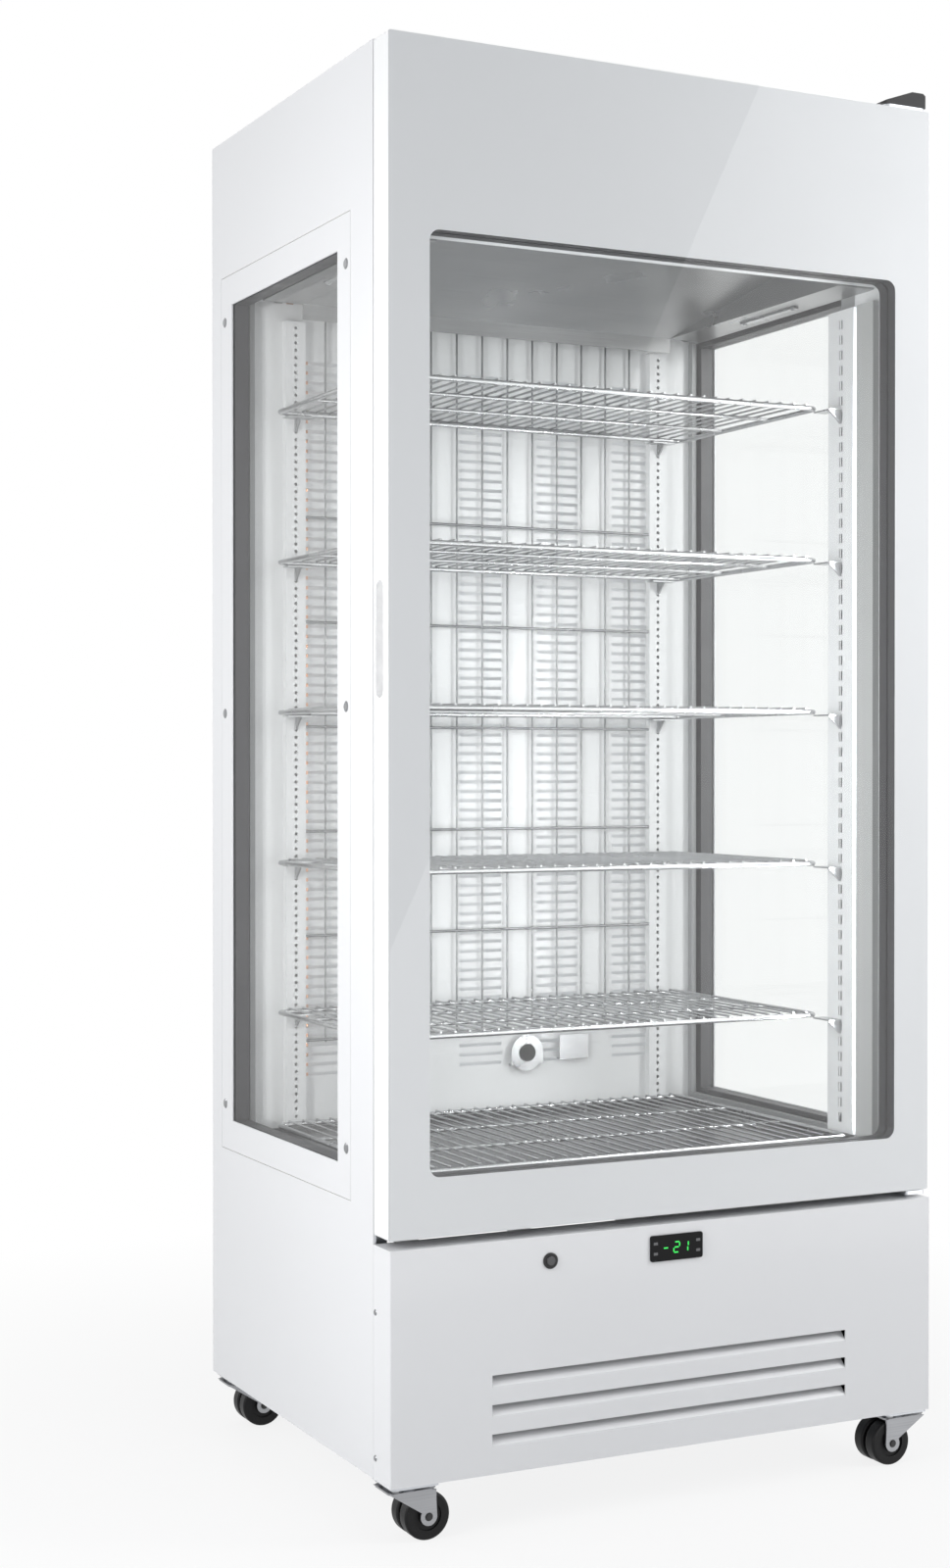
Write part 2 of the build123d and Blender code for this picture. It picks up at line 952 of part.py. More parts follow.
def make_front_pilaster():
    """A slotted channel on the left side liner, just behind the window's front edge."""
    x0 = -side_inner
    x1 = x0 + pilaster_depth
    y0 = front + front_pilaster_offset
    y1 = y0 + front_pilaster_width
    z0 = pilaster_bottom
    z1 = pilaster_top
    channel = block(x0, x1, y0, y1, z0, z1)
    channel -= block(x0 - 1, x1 - pilaster_sheet, y0 + pilaster_sheet, y1 - pilaster_sheet, z0 - 1, z1 + 1)
    count, centre = slot_row(slot_pitch)
    grid = GridLocations(slot_pitch, slot_pitch, 1, count)
    cutter = repeated(Plane.YZ, grid, Rectangle(slot_width, slot_height), 4 * pilaster_sheet)
    return channel - Pos(x1 - 3 * pilaster_sheet, clip_slot_y, centre) * cutter


def slot_row(pitch):
    """How many slots fit the pilaster, and the height of their middle, in step with the shelves."""
    anchor = shelf_level(0) - frame_wire_drop - frame_wire - clip_drop / 2
    below = math.floor((anchor - pilaster_bottom - pitch / 2) / pitch)
    above = math.floor((pilaster_top - pitch / 2 - anchor) / pitch)
    return below + above + 1, anchor + (above - below) * pitch / 2


def make_rear_pilaster():
    x0 = -rear_pilaster_x - rear_pilaster_width / 2
    x1 = -rear_pilaster_x + rear_pilaster_width / 2
    sheet = pilaster_sheet
    channel = block(x0, x1, pilaster_face, duct_face, pilaster_bottom, pilaster_top)
    channel -= block(x0 + sheet, x1 - sheet, pilaster_face + sheet, duct_face + 1, base, top)
    pitch = slot_pitch / 2
    count, centre = slot_row(pitch)
    grid = GridLocations(pitch, pitch, 1, count)
    cutter = repeated(Plane.XZ, grid, Circle(rear_hole_radius), 4 * sheet)
    return channel - Pos(-rear_pilaster_x, pilaster_face + 3 * sheet, centre) * cutter


def make_duct_panel():
    """The louvred panel that stands off the rear liner and carries the air down."""
    z0 = chamber_floor
    z1 = top - door_window_top + 10.0
    sheet = block(-side_inner, side_inner, duct_face, duct_face + duct_panel, z0, z1)
    flange = block(-side_inner, -side_inner + duct_panel, duct_face + duct_panel, rear_inner, z0, z1)
    sheet += [flange, mirror_x(flange)]
    rows = math.floor((z1 - z0 - 140.0) / duct_slot_pitch)
    grid = GridLocations(duct_column_pitch, duct_slot_pitch, duct_columns, rows)
    cutter = repeated(Plane.XZ, grid, Rectangle(duct_slot_length, duct_slot_height), 4 * duct_panel)
    return sheet - Pos(0, duct_face + 3 * duct_panel, (z0 + z1) / 2) * cutter


def make_wire_guard():
    """Upright wires welded to level rails that run between the rear pilasters."""
    half = rear_pilaster_x - rear_pilaster_width / 2
    y_rail = pilaster_face + guard_rail + 1.0
    y_wire = y_rail + guard_rail + guard_wire - weld_bite
    z0 = chamber_floor + guard_bottom_gap
    z1 = pilaster_top
    rails = math.floor((z1 - z0) / guard_rail_pitch) + 1
    pieces = []
    for k in range(rails):
        z = z0 + k * guard_rail_pitch
        pieces.append(rod((-half, y_rail, z), (half, y_rail, z), guard_rail))
    reach_up = z1 + guard_top_reach
    wires = math.floor((2 * half - guard_wire_pitch) / guard_wire_pitch) + 1
    for k in range(wires):
        x = (k - (wires - 1) / 2) * guard_wire_pitch
        pieces.append(rod((x, y_wire, z0 - 2 * guard_rail), (x, y_wire, reach_up), guard_wire))
    return pieces[0].fuse(*pieces[1:])


def wire_loop(half, y0, y1, z, radius, corner):
    """A closed rectangular loop of round wire with bent corners."""
    outline = Plane.XY.offset(z) * Pos(0, (y0 + y1) / 2) * RectangleRounded(2 * half, y1 - y0, corner)
    path = outline.wire()
    section = Plane(origin=path @ 0, z_dir=path % 0) * Circle(radius)
    return sweep(section, path=path)


def make_wire_shelf(level, y_front):
    """A loop frame, two support wires and a row of cross wires from front to back."""
    z_loop = level - frame_wire_drop
    half = shelf_half - frame_wire
    y0 = y_front + frame_wire
    y1 = shelf_rear - frame_wire
    pieces = [wire_loop(half, y0, y1, z_loop, frame_wire, frame_corner)]
    z_support = level - 2 * cross_wire - support_wire + weld_bite
    for share in (1 / 3, 2 / 3):
        y = y0 + share * (y1 - y0)
        pieces.append(rod((-half, y, z_support), (half, y, z_support), support_wire))
    count = math.floor((2 * half - 2 * frame_corner) / cross_wire_pitch) + 1
    z_cross = level - cross_wire
    for k in range(count):
        x = (k - (count - 1) / 2) * cross_wire_pitch
        pieces.append(rod((x, y0, z_cross), (x, y1, z_cross), cross_wire))
    return pieces[0].fuse(*pieces[1:])


def rack_level():
    return chamber_floor + tray_sheet + shelf_seat_gap + rack_foot + frame_wire + frame_wire_drop


def make_bottom_rack():
    """The lowest shelf, which stands on six short feet in the floor tray."""
    y_front = front + rack_front_offset
    rack = make_wire_shelf(rack_level(), y_front)
    z_loop = rack_level() - frame_wire_drop
    z0 = chamber_floor + tray_sheet + shelf_seat_gap
    half = shelf_half - frame_wire
    y0 = y_front + frame_wire
    y1 = shelf_rear - frame_wire
    feet = []
    for x in (-half / 2, 0, half / 2):
        for y in (y0, y1):
            feet.append(rod((x, y, z0), (x, y, z_loop), frame_wire - 0.5))
    return rack.fuse(*feet)


def make_floor_tray():
    half = side_inner - tray_sheet
    y0 = front + lamp_offset - tray_margin / 4
    y1 = duct_face - tray_sheet
    z0 = chamber_floor
    tray = block(-half, half, y0, y1, z0, z0 + tray_rim)
    sheet = tray_sheet
    tray -= block(-half + sheet, half - sheet, y0 + sheet, y1 - sheet, z0 + sheet, z0 + tray_rim + 1)
    return tray


def make_clip(x_wall, y_wall, z_ledge, inward, along):
    """One shelf clip: a ledge, a gusset under it and a peg in the upright's slot."""
    ledge_profile = Polyline(
        (0, 0),
        (clip_ledge, 0),
        (clip_ledge, -clip_sheet),
        (clip_sheet, -clip_drop),
        (0, -clip_drop),
        close=True,
    )
    gusset = extrude(Plane.XZ * make_face(ledge_profile), clip_sheet / 2, both=True)
    ledge = Pos(clip_ledge / 2, along, -clip_sheet / 2) * Box(clip_ledge, clip_length, clip_sheet)
    plate = Pos(clip_sheet / 2, 0, -clip_drop / 2) * Box(clip_sheet, 3 * clip_pin, clip_drop)
    peg = rod((-pilaster_sheet, 0, -clip_drop / 2), (0, 0, -clip_drop / 2), clip_pin)
    clip = gusset + ledge + plate + peg
    return Pos(x_wall, y_wall, z_ledge) * Rot(0, 0, inward) * clip


def make_shelf_clips():
    clips = []
    for index in range(shelf_count):
        z = shelf_level(index) - frame_wire_drop - frame_wire - shelf_seat_gap
        x_front = -side_inner + pilaster_depth
        front_clip = make_clip(x_front, clip_slot_y, z, 0, clip_length / 2 - 2 * clip_pin)
        rear_clip = make_clip(-rear_pilaster_x, pilaster_face, z, -90, 0)
        clips += [front_clip, rear_clip, mirror_x(front_clip), mirror_x(rear_clip)]
    return clips


def make_probe_bracket():
    """A round-topped tab on the duct panel that holds the temperature probe."""
    z = base + probe_z
    y0 = pilaster_face + bracket_inset
    y1 = y0 + bracket_sheet
    x0 = probe_x - probe_tab_radius
    x1 = probe_x + probe_tab_radius
    low = z - probe_tab_drop
    tab = block(x0, x1, y0, y1, low, z)
    tab += rod((probe_x, y0, z), (probe_x, y1, z), probe_tab_radius)
    tab += block(x0, x1, y0, duct_face, low - bracket_sheet, low)
    return tab - rod((probe_x, y0 - 1, z), (probe_x, y1 + 1, z), probe_tab_hole)


def make_angle_bracket():
    """A plain angle beside the probe that spaces the guard from the duct panel."""
    y0 = pilaster_face + bracket_inset
    y1 = y0 + bracket_sheet
    z0 = base + angle_low
    upright = block(angle_left, angle_right, y0, y1, z0, base + angle_high)
    return upright + block(angle_left, angle_right, y1, duct_face, z0, z0 + bracket_sheet)


def make_probe():
    """The black grommet in the tab and the probe's bulb behind it."""
    z = base + probe_z
    y0 = pilaster_face + bracket_inset
    y1 = y0 + bracket_sheet
    grommet = rod((probe_x, y0 - grommet_height, z), (probe_x, y0, z), grommet_radius)
    grommet += rod((probe_x, y0, z), (probe_x, y1, z), probe_tab_hole)
    return grommet + rod((probe_x, y1, z), (probe_x, duct_face, z), probe_radius)


def make_lamp_housing():
    """A vertical channel on the side liner that shields the lamp from the front."""
    x0 = -side_inner
    x1 = x0 + lamp_depth
    y0 = front + lamp_offset
    y1 = y0 + lamp_width
    wall = lamp_wall
    z0 = pilaster_bottom
    z1 = pilaster_top
    channel = block(x0, x1, y0, y1, z0, z1)
    return channel - block(x0 + wall, x1 - wall, y0 + wall, y1 + 1, z0 + wall, z1 - wall)


def make_lamp_lens():
    x0 = -side_inner + lamp_wall
    x1 = x0 + lamp_depth - 2 * lamp_wall
    y1 = front + lamp_offset + lamp_width
    z0 = pilaster_bottom + lamp_wall
    z1 = pilaster_top - lamp_wall
    return block(x0, x1, y1 - lamp_lens, y1, z0, z1)


# Ceiling cover and evaporator


def cover_height_at(y):
    """Height of the sloping ceiling cover's top face at a depth."""
    y0 = frame_back + cover_front_gap
    y1 = duct_face - cover_rear_gap
    share = (y - y0) / (y1 - y0)
    return chamber_top - cover_front_drop - share * (cover_rear_drop - cover_front_drop)


def make_ceiling_cover():
    """The folded sheet under the evaporator: a sloping pan between two level side strips."""
    outer = side_inner
    inner = outer - cover_strip
    y0 = frame_back + cover_front_gap
    y1 = duct_face - cover_rear_gap
    z0 = cover_height_at(y0)
    z1 = cover_height_at(y1)
    sheet = cover_sheet
    slope = Polyline(
        (y0, z0),
        (y1, z1),
        (y1, z1 - cover_lip),
        (y1 - sheet, z1 - cover_lip),
        (y1 - sheet, z1 - sheet),
        (y0, z0 - sheet),
        close=True,
    )
    cover = extrude(Plane.YZ * make_face(slope), inner, both=True)
    web = Polyline((y0, z0), (y1, z1), (y1, z1 - sheet), (y0, z1 - sheet), close=True)
    upright = Pos(-inner - sheet / 2, 0, 0) * extrude(Plane.YZ * make_face(web), sheet / 2, both=True)
    strip = block(-outer, -inner, y0, y1, z1 - sheet, z1)
    flange = block(-outer, -outer + sheet, y0, y1, z1, z1 + cover_lip)
    side = upright + strip + flange
    return cover + [side, mirror_x(side)]


def make_cover_bars():
    """The bars that hold the ceiling cover's strips up, each with two screws."""
    y_mid = frame_back + cover_bar_place * (duct_face - frame_back)
    z1 = chamber_top - cover_rear_drop - cover_sheet
    z0 = z1 - cover_bar_depth
    x = -side_inner + cover_strip / 2
    wide = cover_bar_width / 2
    long = cover_bar_length / 2
    bar = block(x - wide, x + wide, y_mid - long, y_mid + long, z0, z1)
    reach = long - cover_bar_screw_inset
    for y in (y_mid - reach, y_mid + reach):
        bar += rod((x, y, z0 - 2.0), (x, y, z0), cover_bar_screw)
    return [bar, mirror_x(bar)]


def coil_y():
    return (frame_back + duct_face) / 2 - 40.0


def make_evaporator_coil():
    """Two end plates, fins, and the tube runs through them."""
    z1 = chamber_top
    z0 = z1 - coil_height
    y0 = coil_y() - coil_depth / 2
    y1 = coil_y() + coil_depth / 2
    half = coil_width / 2
    ends = [
        block(-half, -half + coil_end_plate, y0, y1, z0, z1),
        block(half - coil_end_plate, half, y0, y1, z0, z1),
    ]
    count = math.floor((coil_width - 2 * coil_fin_pitch) / coil_fin_pitch)
    fins = []
    for k in range(count):
        x = (k - (count - 1) / 2) * coil_fin_pitch
        fin_y0 = y0 + coil_fin_inset
        fin_y1 = y1 - coil_fin_inset
        fin_z0 = z0 + coil_fin_inset
        fins.append(block(x - coil_fin / 2, x + coil_fin / 2, fin_y0, fin_y1, fin_z0, z1 - coil_top_gap))
    tubes = []
    for row in coil_tube_rows:
        for column in coil_tube_columns:
            y = y0 + column * coil_depth
            z = z0 + row * coil_height
            tubes.append(rod((-half - coil_tube_end, y, z), (half + coil_tube_end, y, z), coil_tube))
    return ends[0].fuse(ends[1], *fins, *tubes)


def fan_housing(size, depth, rotor_radius):
    """A square axial fan frame along Y, with a motor boss held by three struts."""
    half = size / 2
    body = block(-half, half, 0, depth, -half, half)
    body = fillet(body.edges().filter_by(Axis.Y), size / 20)
    body -= rod((0, -1, 0), (0, depth + 1, 0), rotor_radius + fan_tip_gap)
    motor_face = depth - fan_motor_depth
    motor = rod((0, motor_face, 0), (0, depth, 0), rotor_radius * fan_hub_share)
    strut_y = depth - fan_motor_depth / 2
    reach = rotor_radius + fan_tip_gap + 0.5
    for k in range(3):
        angle = math.radians(90 + 120 * k)
        tip = (reach * math.cos(angle), strut_y, reach * math.sin(angle))
        motor += rod((0, strut_y, 0), tip, fan_strut_radius)
    shaft = rod((0, motor_face, 0), (0, fan_shaft_end, 0), fan_shaft_radius)
    return body + motor + shaft


def fan_rotor(depth, rotor_radius, blade_count):
    """A hub with pitched blades that turns on the housing's shaft."""
    rotor_hub = rotor_radius * fan_hub_share
    y0 = fan_rotor_inset
    y1 = depth - fan_motor_depth - fan_motor_gap
    rotor = rod((0, y0, 0), (0, y1, 0), rotor_hub)
    span = rotor_radius - rotor_hub + 2.0
    chord = (y1 - y0) * 0.95
    for k in range(blade_count):
        blade = Pos(0, (y0 + y1) / 2, rotor_hub - 2.0 + span / 2) * Rot(0, 0, fan_blade_angle)
        blade = blade * Box(fan_blade_sheet, chord, span)
        rotor += Rot(0, 360 / blade_count * k, 0) * blade
    limit = rod((0, y0 - 1, 0), (0, y1 + 1, 0), rotor_radius)
    rotor = rotor & limit
    bore = fan_shaft_radius + fan_shaft_clearance
    return rotor - rod((0, fan_shaft_end - 1.0, 0), (0, y1 + 1, 0), bore)


def evaporator_fan_front():
    return coil_y() + coil_depth / 2 + fan_coil_gap


def evaporator_fan_place():
    return Pos(0, evaporator_fan_front(), chamber_top - evaporator_fan_size / 2)


def make_fan_bracket():
    """The angle that hangs the evaporator fan from the ceiling liner."""
    y0 = evaporator_fan_front() + evaporator_fan_depth
    half = evaporator_fan_size / 4
    sheet = fan_bracket_sheet
    drop = block(-half, half, y0, y0 + sheet, chamber_top - fan_bracket_drop, chamber_top)
    return drop + block(-half, half, y0, y0 + fan_bracket_reach, chamber_top - sheet, chamber_top)


# Machine compartment


def make_compressor():
    """The welded steel shell with its stubs on a base plate."""
    z0 = pan_floor + compressor_foot
    plate = Pos(compressor_x, compressor_y, z0 + compressor_plate / 2)
    plate = plate * Box(compressor_plate_x, compressor_plate_y, compressor_plate)
    plate = fillet(plate.edges().filter_by(Axis.Z), compressor_plate_corner)
    z1 = z0 + compressor_plate
    shell = rod(
        (compressor_x, compressor_y, z1),
        (compressor_x, compressor_y, z1 + compressor_height),
        compressor_radius,
    )
    dome = fillet(shell.edges().sort_by(Axis.Z)[-1], compressor_radius * compressor_dome_share)
    low = z1 + compressor_height * compressor_seam_share
    high = low + compressor_seam_height
    rim_radius = compressor_radius + compressor_seam_reach
    rim = rod((compressor_x, compressor_y, low), (compressor_x, compressor_y, high), rim_radius)
    return plate + dome + rim


def compressor_corners():
    dx = compressor_plate_x / 2 - compressor_plate_corner
    dy = compressor_plate_y / 2 - compressor_plate_corner
    return [(compressor_x + sx * dx, compressor_y + sy * dy) for sx in (-1, 1) for sy in (-1, 1)]


def make_compressor_feet():
    z1 = pan_floor + compressor_foot
    return [rod((x, y, pan_floor), (x, y, z1), compressor_foot_radius) for x, y in compressor_corners()]


def condenser_front():
    return shell_front + condenser_front_gap


def make_condenser_coil():
    y0 = condenser_front()
    y1 = y0 + condenser_depth
    z0 = pan_floor
    z1 = z0 + condenser_height
    x0 = condenser_x - condenser_width / 2
    x1 = condenser_x + condenser_width / 2
    plate = coil_end_plate
    pieces = [block(x0, x0 + plate, y0, y1, z0, z1), block(x1 - plate, x1, y0, y1, z0, z1)]
    pitch = condenser_fin_pitch
    half = coil_fin / 2
    inset = condenser_fin_inset
    count = math.floor((condenser_width - 2 * pitch) / pitch)
    for k in range(count):
        x = condenser_x + (k - (count - 1) / 2) * pitch
        fin = block(x - half, x + half, y0 + coil_fin_inset, y1 - coil_fin_inset, z0 + inset, z1 - inset)
        pieces.append(fin)
    for row in range(condenser_rows):
        z = z0 + (row + 0.5) * condenser_height / condenser_rows
        for place in condenser_tube_places:
            y = y0 + condenser_depth * place
            pieces.append(rod((x0 - coil_tube_end, y, z), (x1 + coil_tube_end, y, z), condenser_tube))
    return pieces[0].fuse(*pieces[1:])


def condenser_fan_place():
    z = pan_floor + condenser_fan_size / 2
    return Pos(condenser_x, condenser_front() + condenser_depth, z)


def make_evaporation_tray():
    x0 = tray_x - tray_width / 2
    x1 = tray_x + tray_width / 2
    y0 = tray_y - tray_depth / 2
    y1 = tray_y + tray_depth / 2
    z0 = pan_floor
    z1 = z0 + tray_height
    wall = tray_wall
    tray = plate_z(x0, x1, y0, y1, z0, z1, tray_corner)
    hollow_corner = tray_corner - wall
    return tray - plate_z(x0 + wall, x1 - wall, y0 + wall, y1 - wall, z0 + wall, z1 + 1, hollow_corner)


def make_electrical_box():
    x0 = electrical_x - electrical_width / 2
    x1 = electrical_x + electrical_width / 2
    y0 = electrical_y - electrical_depth / 2
    y1 = electrical_y + electrical_depth / 2
    z0 = pan_floor
    z1 = z0 + electrical_height
    box = plate_z(x0, x1, y0, y1, z0, z1, electrical_corner)
    inset = electrical_lid_inset
    lid = block(x0 - electrical_lid, x0, y0 + inset, y1 - inset, z0 + inset, z1 - inset)
    return box + lid


def drier_height():
    return pan_floor + 3.5 * condenser_height / condenser_rows


def make_suction_line():
    """The pipe from the evaporator down behind the duct panel to the compressor."""
    y = (duct_face + rear_inner) / 2
    z_coil = chamber_top - coil_height * 0.7
    z_low = pan_floor + compressor_foot + compressor_plate + compressor_height * 0.65
    coil_front = coil_y() - coil_depth * 0.3
    route = [
        (compressor_x - compressor_radius, compressor_y, z_low),
        (suction_x, compressor_y, z_low),
        (suction_x, y, z_low + 60),
        (suction_x, y, z_coil),
        (suction_x, coil_front, z_coil),
        (-coil_width / 2 - coil_tube_end, coil_front, z_coil),
    ]
    return pipe_runs(route, suction_radius, suction_bend)


def make_liquid_line():
    """The pipe from the filter drier up behind the duct panel to the evaporator."""
    y = (duct_face + rear_inner) / 2
    z_coil = chamber_top - coil_height * 0.3
    z_low = drier_height()
    coil_back = coil_y() + coil_depth * 0.3
    route = [
        (liquid_x, tray_y, z_low),
        (liquid_x, y, z_low + 40),
        (liquid_x, y, z_coil),
        (liquid_x, coil_back, z_coil),
        (-coil_width / 2 - coil_tube_end, coil_back, z_coil),
    ]
    return pipe_runs(route, liquid_radius, liquid_bend)


def make_condenser_lines():
    """The hot pipe into the condenser and the warm pipe from it to the filter drier."""
    y = condenser_front() + condenser_depth * 0.7
    z_hot = pan_floor + 4.5 * condenser_height / condenser_rows
    x0 = condenser_x - condenser_width / 2 - coil_tube_end
    x1 = condenser_x + condenser_width / 2 + coil_tube_end
    hot_route = [
        (compressor_x, compressor_y - compressor_radius, z_hot),
        (compressor_x, y, z_hot),
        (x1, y, z_hot),
    ]
    warm_route = [
        (liquid_x, tray_y - drier_length, drier_height()),
        (liquid_x, y, drier_height()),
        (x0, y, drier_height()),
    ]
    hot = pipe_runs(hot_route, liquid_radius, hot_bend)
    return hot + pipe_runs(warm_route, liquid_radius, liquid_bend)


def make_filter_drier():
    z = drier_height()
    return rod((liquid_x, tray_y - drier_length, z), (liquid_x, tray_y, z), drier_radius)


def make_drain_pipe():
    y = (duct_face + rear_inner) / 2
    z0 = pan_floor + tray_height * 0.5
    z1 = cover_height_at(duct_face) + cover_lip
    pipe = rod((drain_x, y, z0), (drain_x, y, z1), drain_radius)
    return pipe - rod((drain_x, y, z0 - 1), (drain_x, y, z1 + 1), drain_radius - drain_wall)


def make_cable_gland():
    """The cable entry in the chassis pan; it holds no cable."""
    y = back - gland_y_inset
    nut = Pos(gland_x, y, pan_floor) * extrude(RegularPolygon(gland_hex, 6), 5.0)
    barrel = rod((gland_x, y, base), (gland_x, y, pan_floor), gland_radius)
    cap = Pos(gland_x, y, base - gland_drop) * extrude(RegularPolygon(gland_hex, 6), gland_drop)
    bore = rod((gland_x, y, 0), (gland_x, y, top), gland_radius / 2)
    return nut + barrel + cap - bore


# Casters


def caster_centres():
    x = right - caster_inset_x
    y = back - caster_inset_y
    return [(-x, -y), (x, -y), (-x, y), (x, y)]


def caster_trail_sign(x):
    """The wheels trail towards the middle of the cabinet."""
    return 1 if x < 0 else -1


def caster_half_width():
    return wheel_width + wheel_gap / 2


def make_caster_plates():
    plates = []
    half = caster_plate_size / 2
    bolt = caster_bolt_spacing / 2
    crown = fork_crown + fork_sheet
    for x, y in caster_centres():
        plate = plate_z(x - half, x + half, y - half, y + half, base - caster_plate, base, 6.0)
        plate += rod((x, y, crown + swivel_gap), (x, y, base - caster_plate), swivel_radius)
        plate += rod((x, y, fork_crown - 2.0), (x, y, base - caster_plate), swivel_pin_radius)
        plate += rod((x, y, fork_crown - 2.0), (x, y, fork_crown - swivel_gap), swivel_pin_radius + 2.0)
        for dx in (-bolt, bolt):
            for dy in (-bolt, bolt):
                hole = rod((x + dx, y + dy, 0), (x + dx, y + dy, base + 1), caster_bolt_radius)
                plate -= hole
        plates.append(plate)
    return plates


def make_caster_bolts():
    """Bolts through the plates into the chassis pan, with their nuts in the pan."""
    bolts = []
    half = caster_bolt_spacing / 2
    for x, y in caster_centres():
        for dx in (-half, half):
            for dy in (-half, half):
                low = base - caster_plate
                shank = rod((x + dx, y + dy, low), (x + dx, y + dy, pan_floor), caster_bolt_radius)
                head = rod((x + dx, y + dy, low - 3), (x + dx, y + dy, low), 5.0)
                nut = rod((x + dx, y + dy, pan_floor), (x + dx, y + dy, pan_floor + 4), 5.0)
                bolts.append(shank + head + nut)
    return bolts


def make_caster_fork(x, y):
    """A pressed steel fork: a crown, two tapering side plates and the wheel axle."""
    sign = caster_trail_sign(x)
    half = caster_half_width() + fork_side_gap + fork_sheet
    hub_x = x + sign * caster_trail
    outer_x = x - sign * (caster_inset_x - 3.0)
    inner_x = x + sign * (caster_inset_x - 5.0)
    crown_left = min(outer_x, inner_x)
    crown_right = max(outer_x, inner_x)
    crown_top = fork_crown + fork_sheet
    crown = plate_z(crown_left, crown_right, y - half, y + half, fork_crown, crown_top, (half - 1.0) / 3)
    side = Polyline(
        (outer_x, fork_crown + fork_sheet / 2),
        (inner_x, fork_crown + fork_sheet / 2),
        (inner_x, fork_crown - 12.0),
        (hub_x + sign * fork_lobe_radius, wheel_radius),
        (hub_x, wheel_radius),
        (hub_x - sign * fork_lobe_radius * 0.7, wheel_radius + fork_lobe_radius * 0.4),
        close=True,
    )
    cheek = extrude(Plane.XZ * make_face(side), fork_sheet)
    cheek += rod((hub_x, 0, wheel_radius), (hub_x, -fork_sheet, wheel_radius), fork_lobe_radius)
    front_cheek = Pos(0, y - half + fork_sheet, 0) * cheek
    rear_cheek = Pos(0, y + half, 0) * cheek
    axle = rod((hub_x, y - half - 1.5, wheel_radius), (hub_x, y + half + 1.5, wheel_radius), axle_radius)
    fork = crown + front_cheek + rear_cheek + axle
    bore = swivel_pin_radius + axle_bore_clearance
    return fork - rod((x, y, fork_crown - 20), (x, y, fork_crown + fork_sheet + 1), bore)


def make_caster_wheel(x, y):
    """Two tyres on two hubs joined by a sleeve that turns on the axle."""
    hub_x = x + caster_trail_sign(x) * caster_trail
    z = wheel_radius
    bore = axle_radius + axle_bore_clearance
    half = caster_half_width()
    tyres = []
    hub = rod((hub_x, y - half, z), (hub_x, y + half, z), axle_radius + 3.0)
    for y0 in (y - half, y + wheel_gap / 2):
        y1 = y0 + wheel_width
        tyre = rod((hub_x, y0, z), (hub_x, y1, z), wheel_radius)
        tyre = fillet(tyre.edges(), 3.5)
        tyre -= rod((hub_x, y0 - 1, z), (hub_x, y1 + 1, z), hub_radius)
        tyres.append(tyre)
        disc = rod((hub_x, y0 + 2, z), (hub_x, y1 - 2, z), hub_radius)
        hub += disc
    hub -= rod((hub_x, y - half - 1, z), (hub_x, y + half + 1, z), bore)
    return tyres, hub


left_panel = make_side_panel()
save("left_side_panel", left_panel)
save("right_side_panel", mirror_x(left_panel))
save("roof_and_rear_panels", make_roof_panel(), make_rear_panel(), make_rear_grille())
left_foam = make_side_insulation()
other_foam = [make_roof_insulation(), make_rear_insulation(), make_deck_insulation()]
save("body_insulation", left_foam, mirror_x(left_foam), *other_foam)
left_liner = make_side_liner()
other_liners = [make_ceiling_liner(), make_rear_liner(), make_floor_liner()]
save("chamber_liner", left_liner, mirror_x(left_liner), *other_liners)
save("front_frame", make_front_frame())
save("chassis", make_chassis_pan(), make_deck_plate(), *make_machine_frame())

left_trim = make_window_trim()
save("side_window_trims", left_trim, mirror_x(left_trim))
left_panes = make_side_panes()
save("side_window_panes", *left_panes, *[mirror_x(pane) for pane in left_panes])
left_spacer = make_window_spacer()
save("side_window_spacers", left_spacer, mirror_x(left_spacer))
left_inner_frame = make_window_inner_frame()
save("side_window_inner_frames", left_inner_frame, mirror_x(left_inner_frame))
window_screws = make_window_screws()
window_screws += [mirror_x(screw) for screw in window_screws]
save("fasteners", *window_screws, *make_cover_screws(), *make_hinge_screws(), *make_caster_bolts())

save("lower_front_cover", make_lower_cover())
save("temperature_controller", make_controller())
save("lamp_switch_housing", make_button_housing())
save("lamp_switch_button", make_button())

save("door_front_glass", make_door_glass())
save("door_border_print", make_door_print())
save("door_inner_panes", *make_door_panes())
save("door_spacers", *make_door_spacers())
save("door_frame", make_door_frame())
save("door_insulation", make_door_insulation())
save("door_gasket", make_door_gasket())
save("door_pull_cup", make_pull_cup())
save("door_hinges", make_upper_hinge(), make_lower_hinge())
save("hinge_cap_and_washer", make_hinge_cap(), make_hinge_washer())

left_pilaster = make_front_pilaster()
left_rear_pilaster = make_rear_pilaster()
left_uprights = [left_pilaster, left_rear_pilaster]
save("shelf_uprights", *left_uprights, *[mirror_x(upright) for upright in left_uprights])
save("duct_panel", make_duct_panel())
save("wire_guard", make_wire_guard())
lowest = make_wire_shelf(shelf_level(0), shelf_front)
for number in range(shelf_count):
    rise = (shelf_count - 1 - number) * shelf_pitch
    save(f"wire_shelf_{number + 1}", Pos(0, 0, rise) * lowest)
save("bottom_rack", make_bottom_rack())
save("floor_tray", make_floor_tray())
save("shelf_clips", *make_shelf_clips())
brackets = [make_probe_bracket(), make_angle_bracket(), make_fan_bracket()]
save("chamber_brackets", *brackets, *make_cover_bars())
save("temperature_probe", make_probe())
left_lamp = make_lamp_housing()
left_lens = make_lamp_lens()
save("lamp_housings", left_lamp, mirror_x(left_lamp))
save("lamp_lenses", left_lens, mirror_x(left_lens))

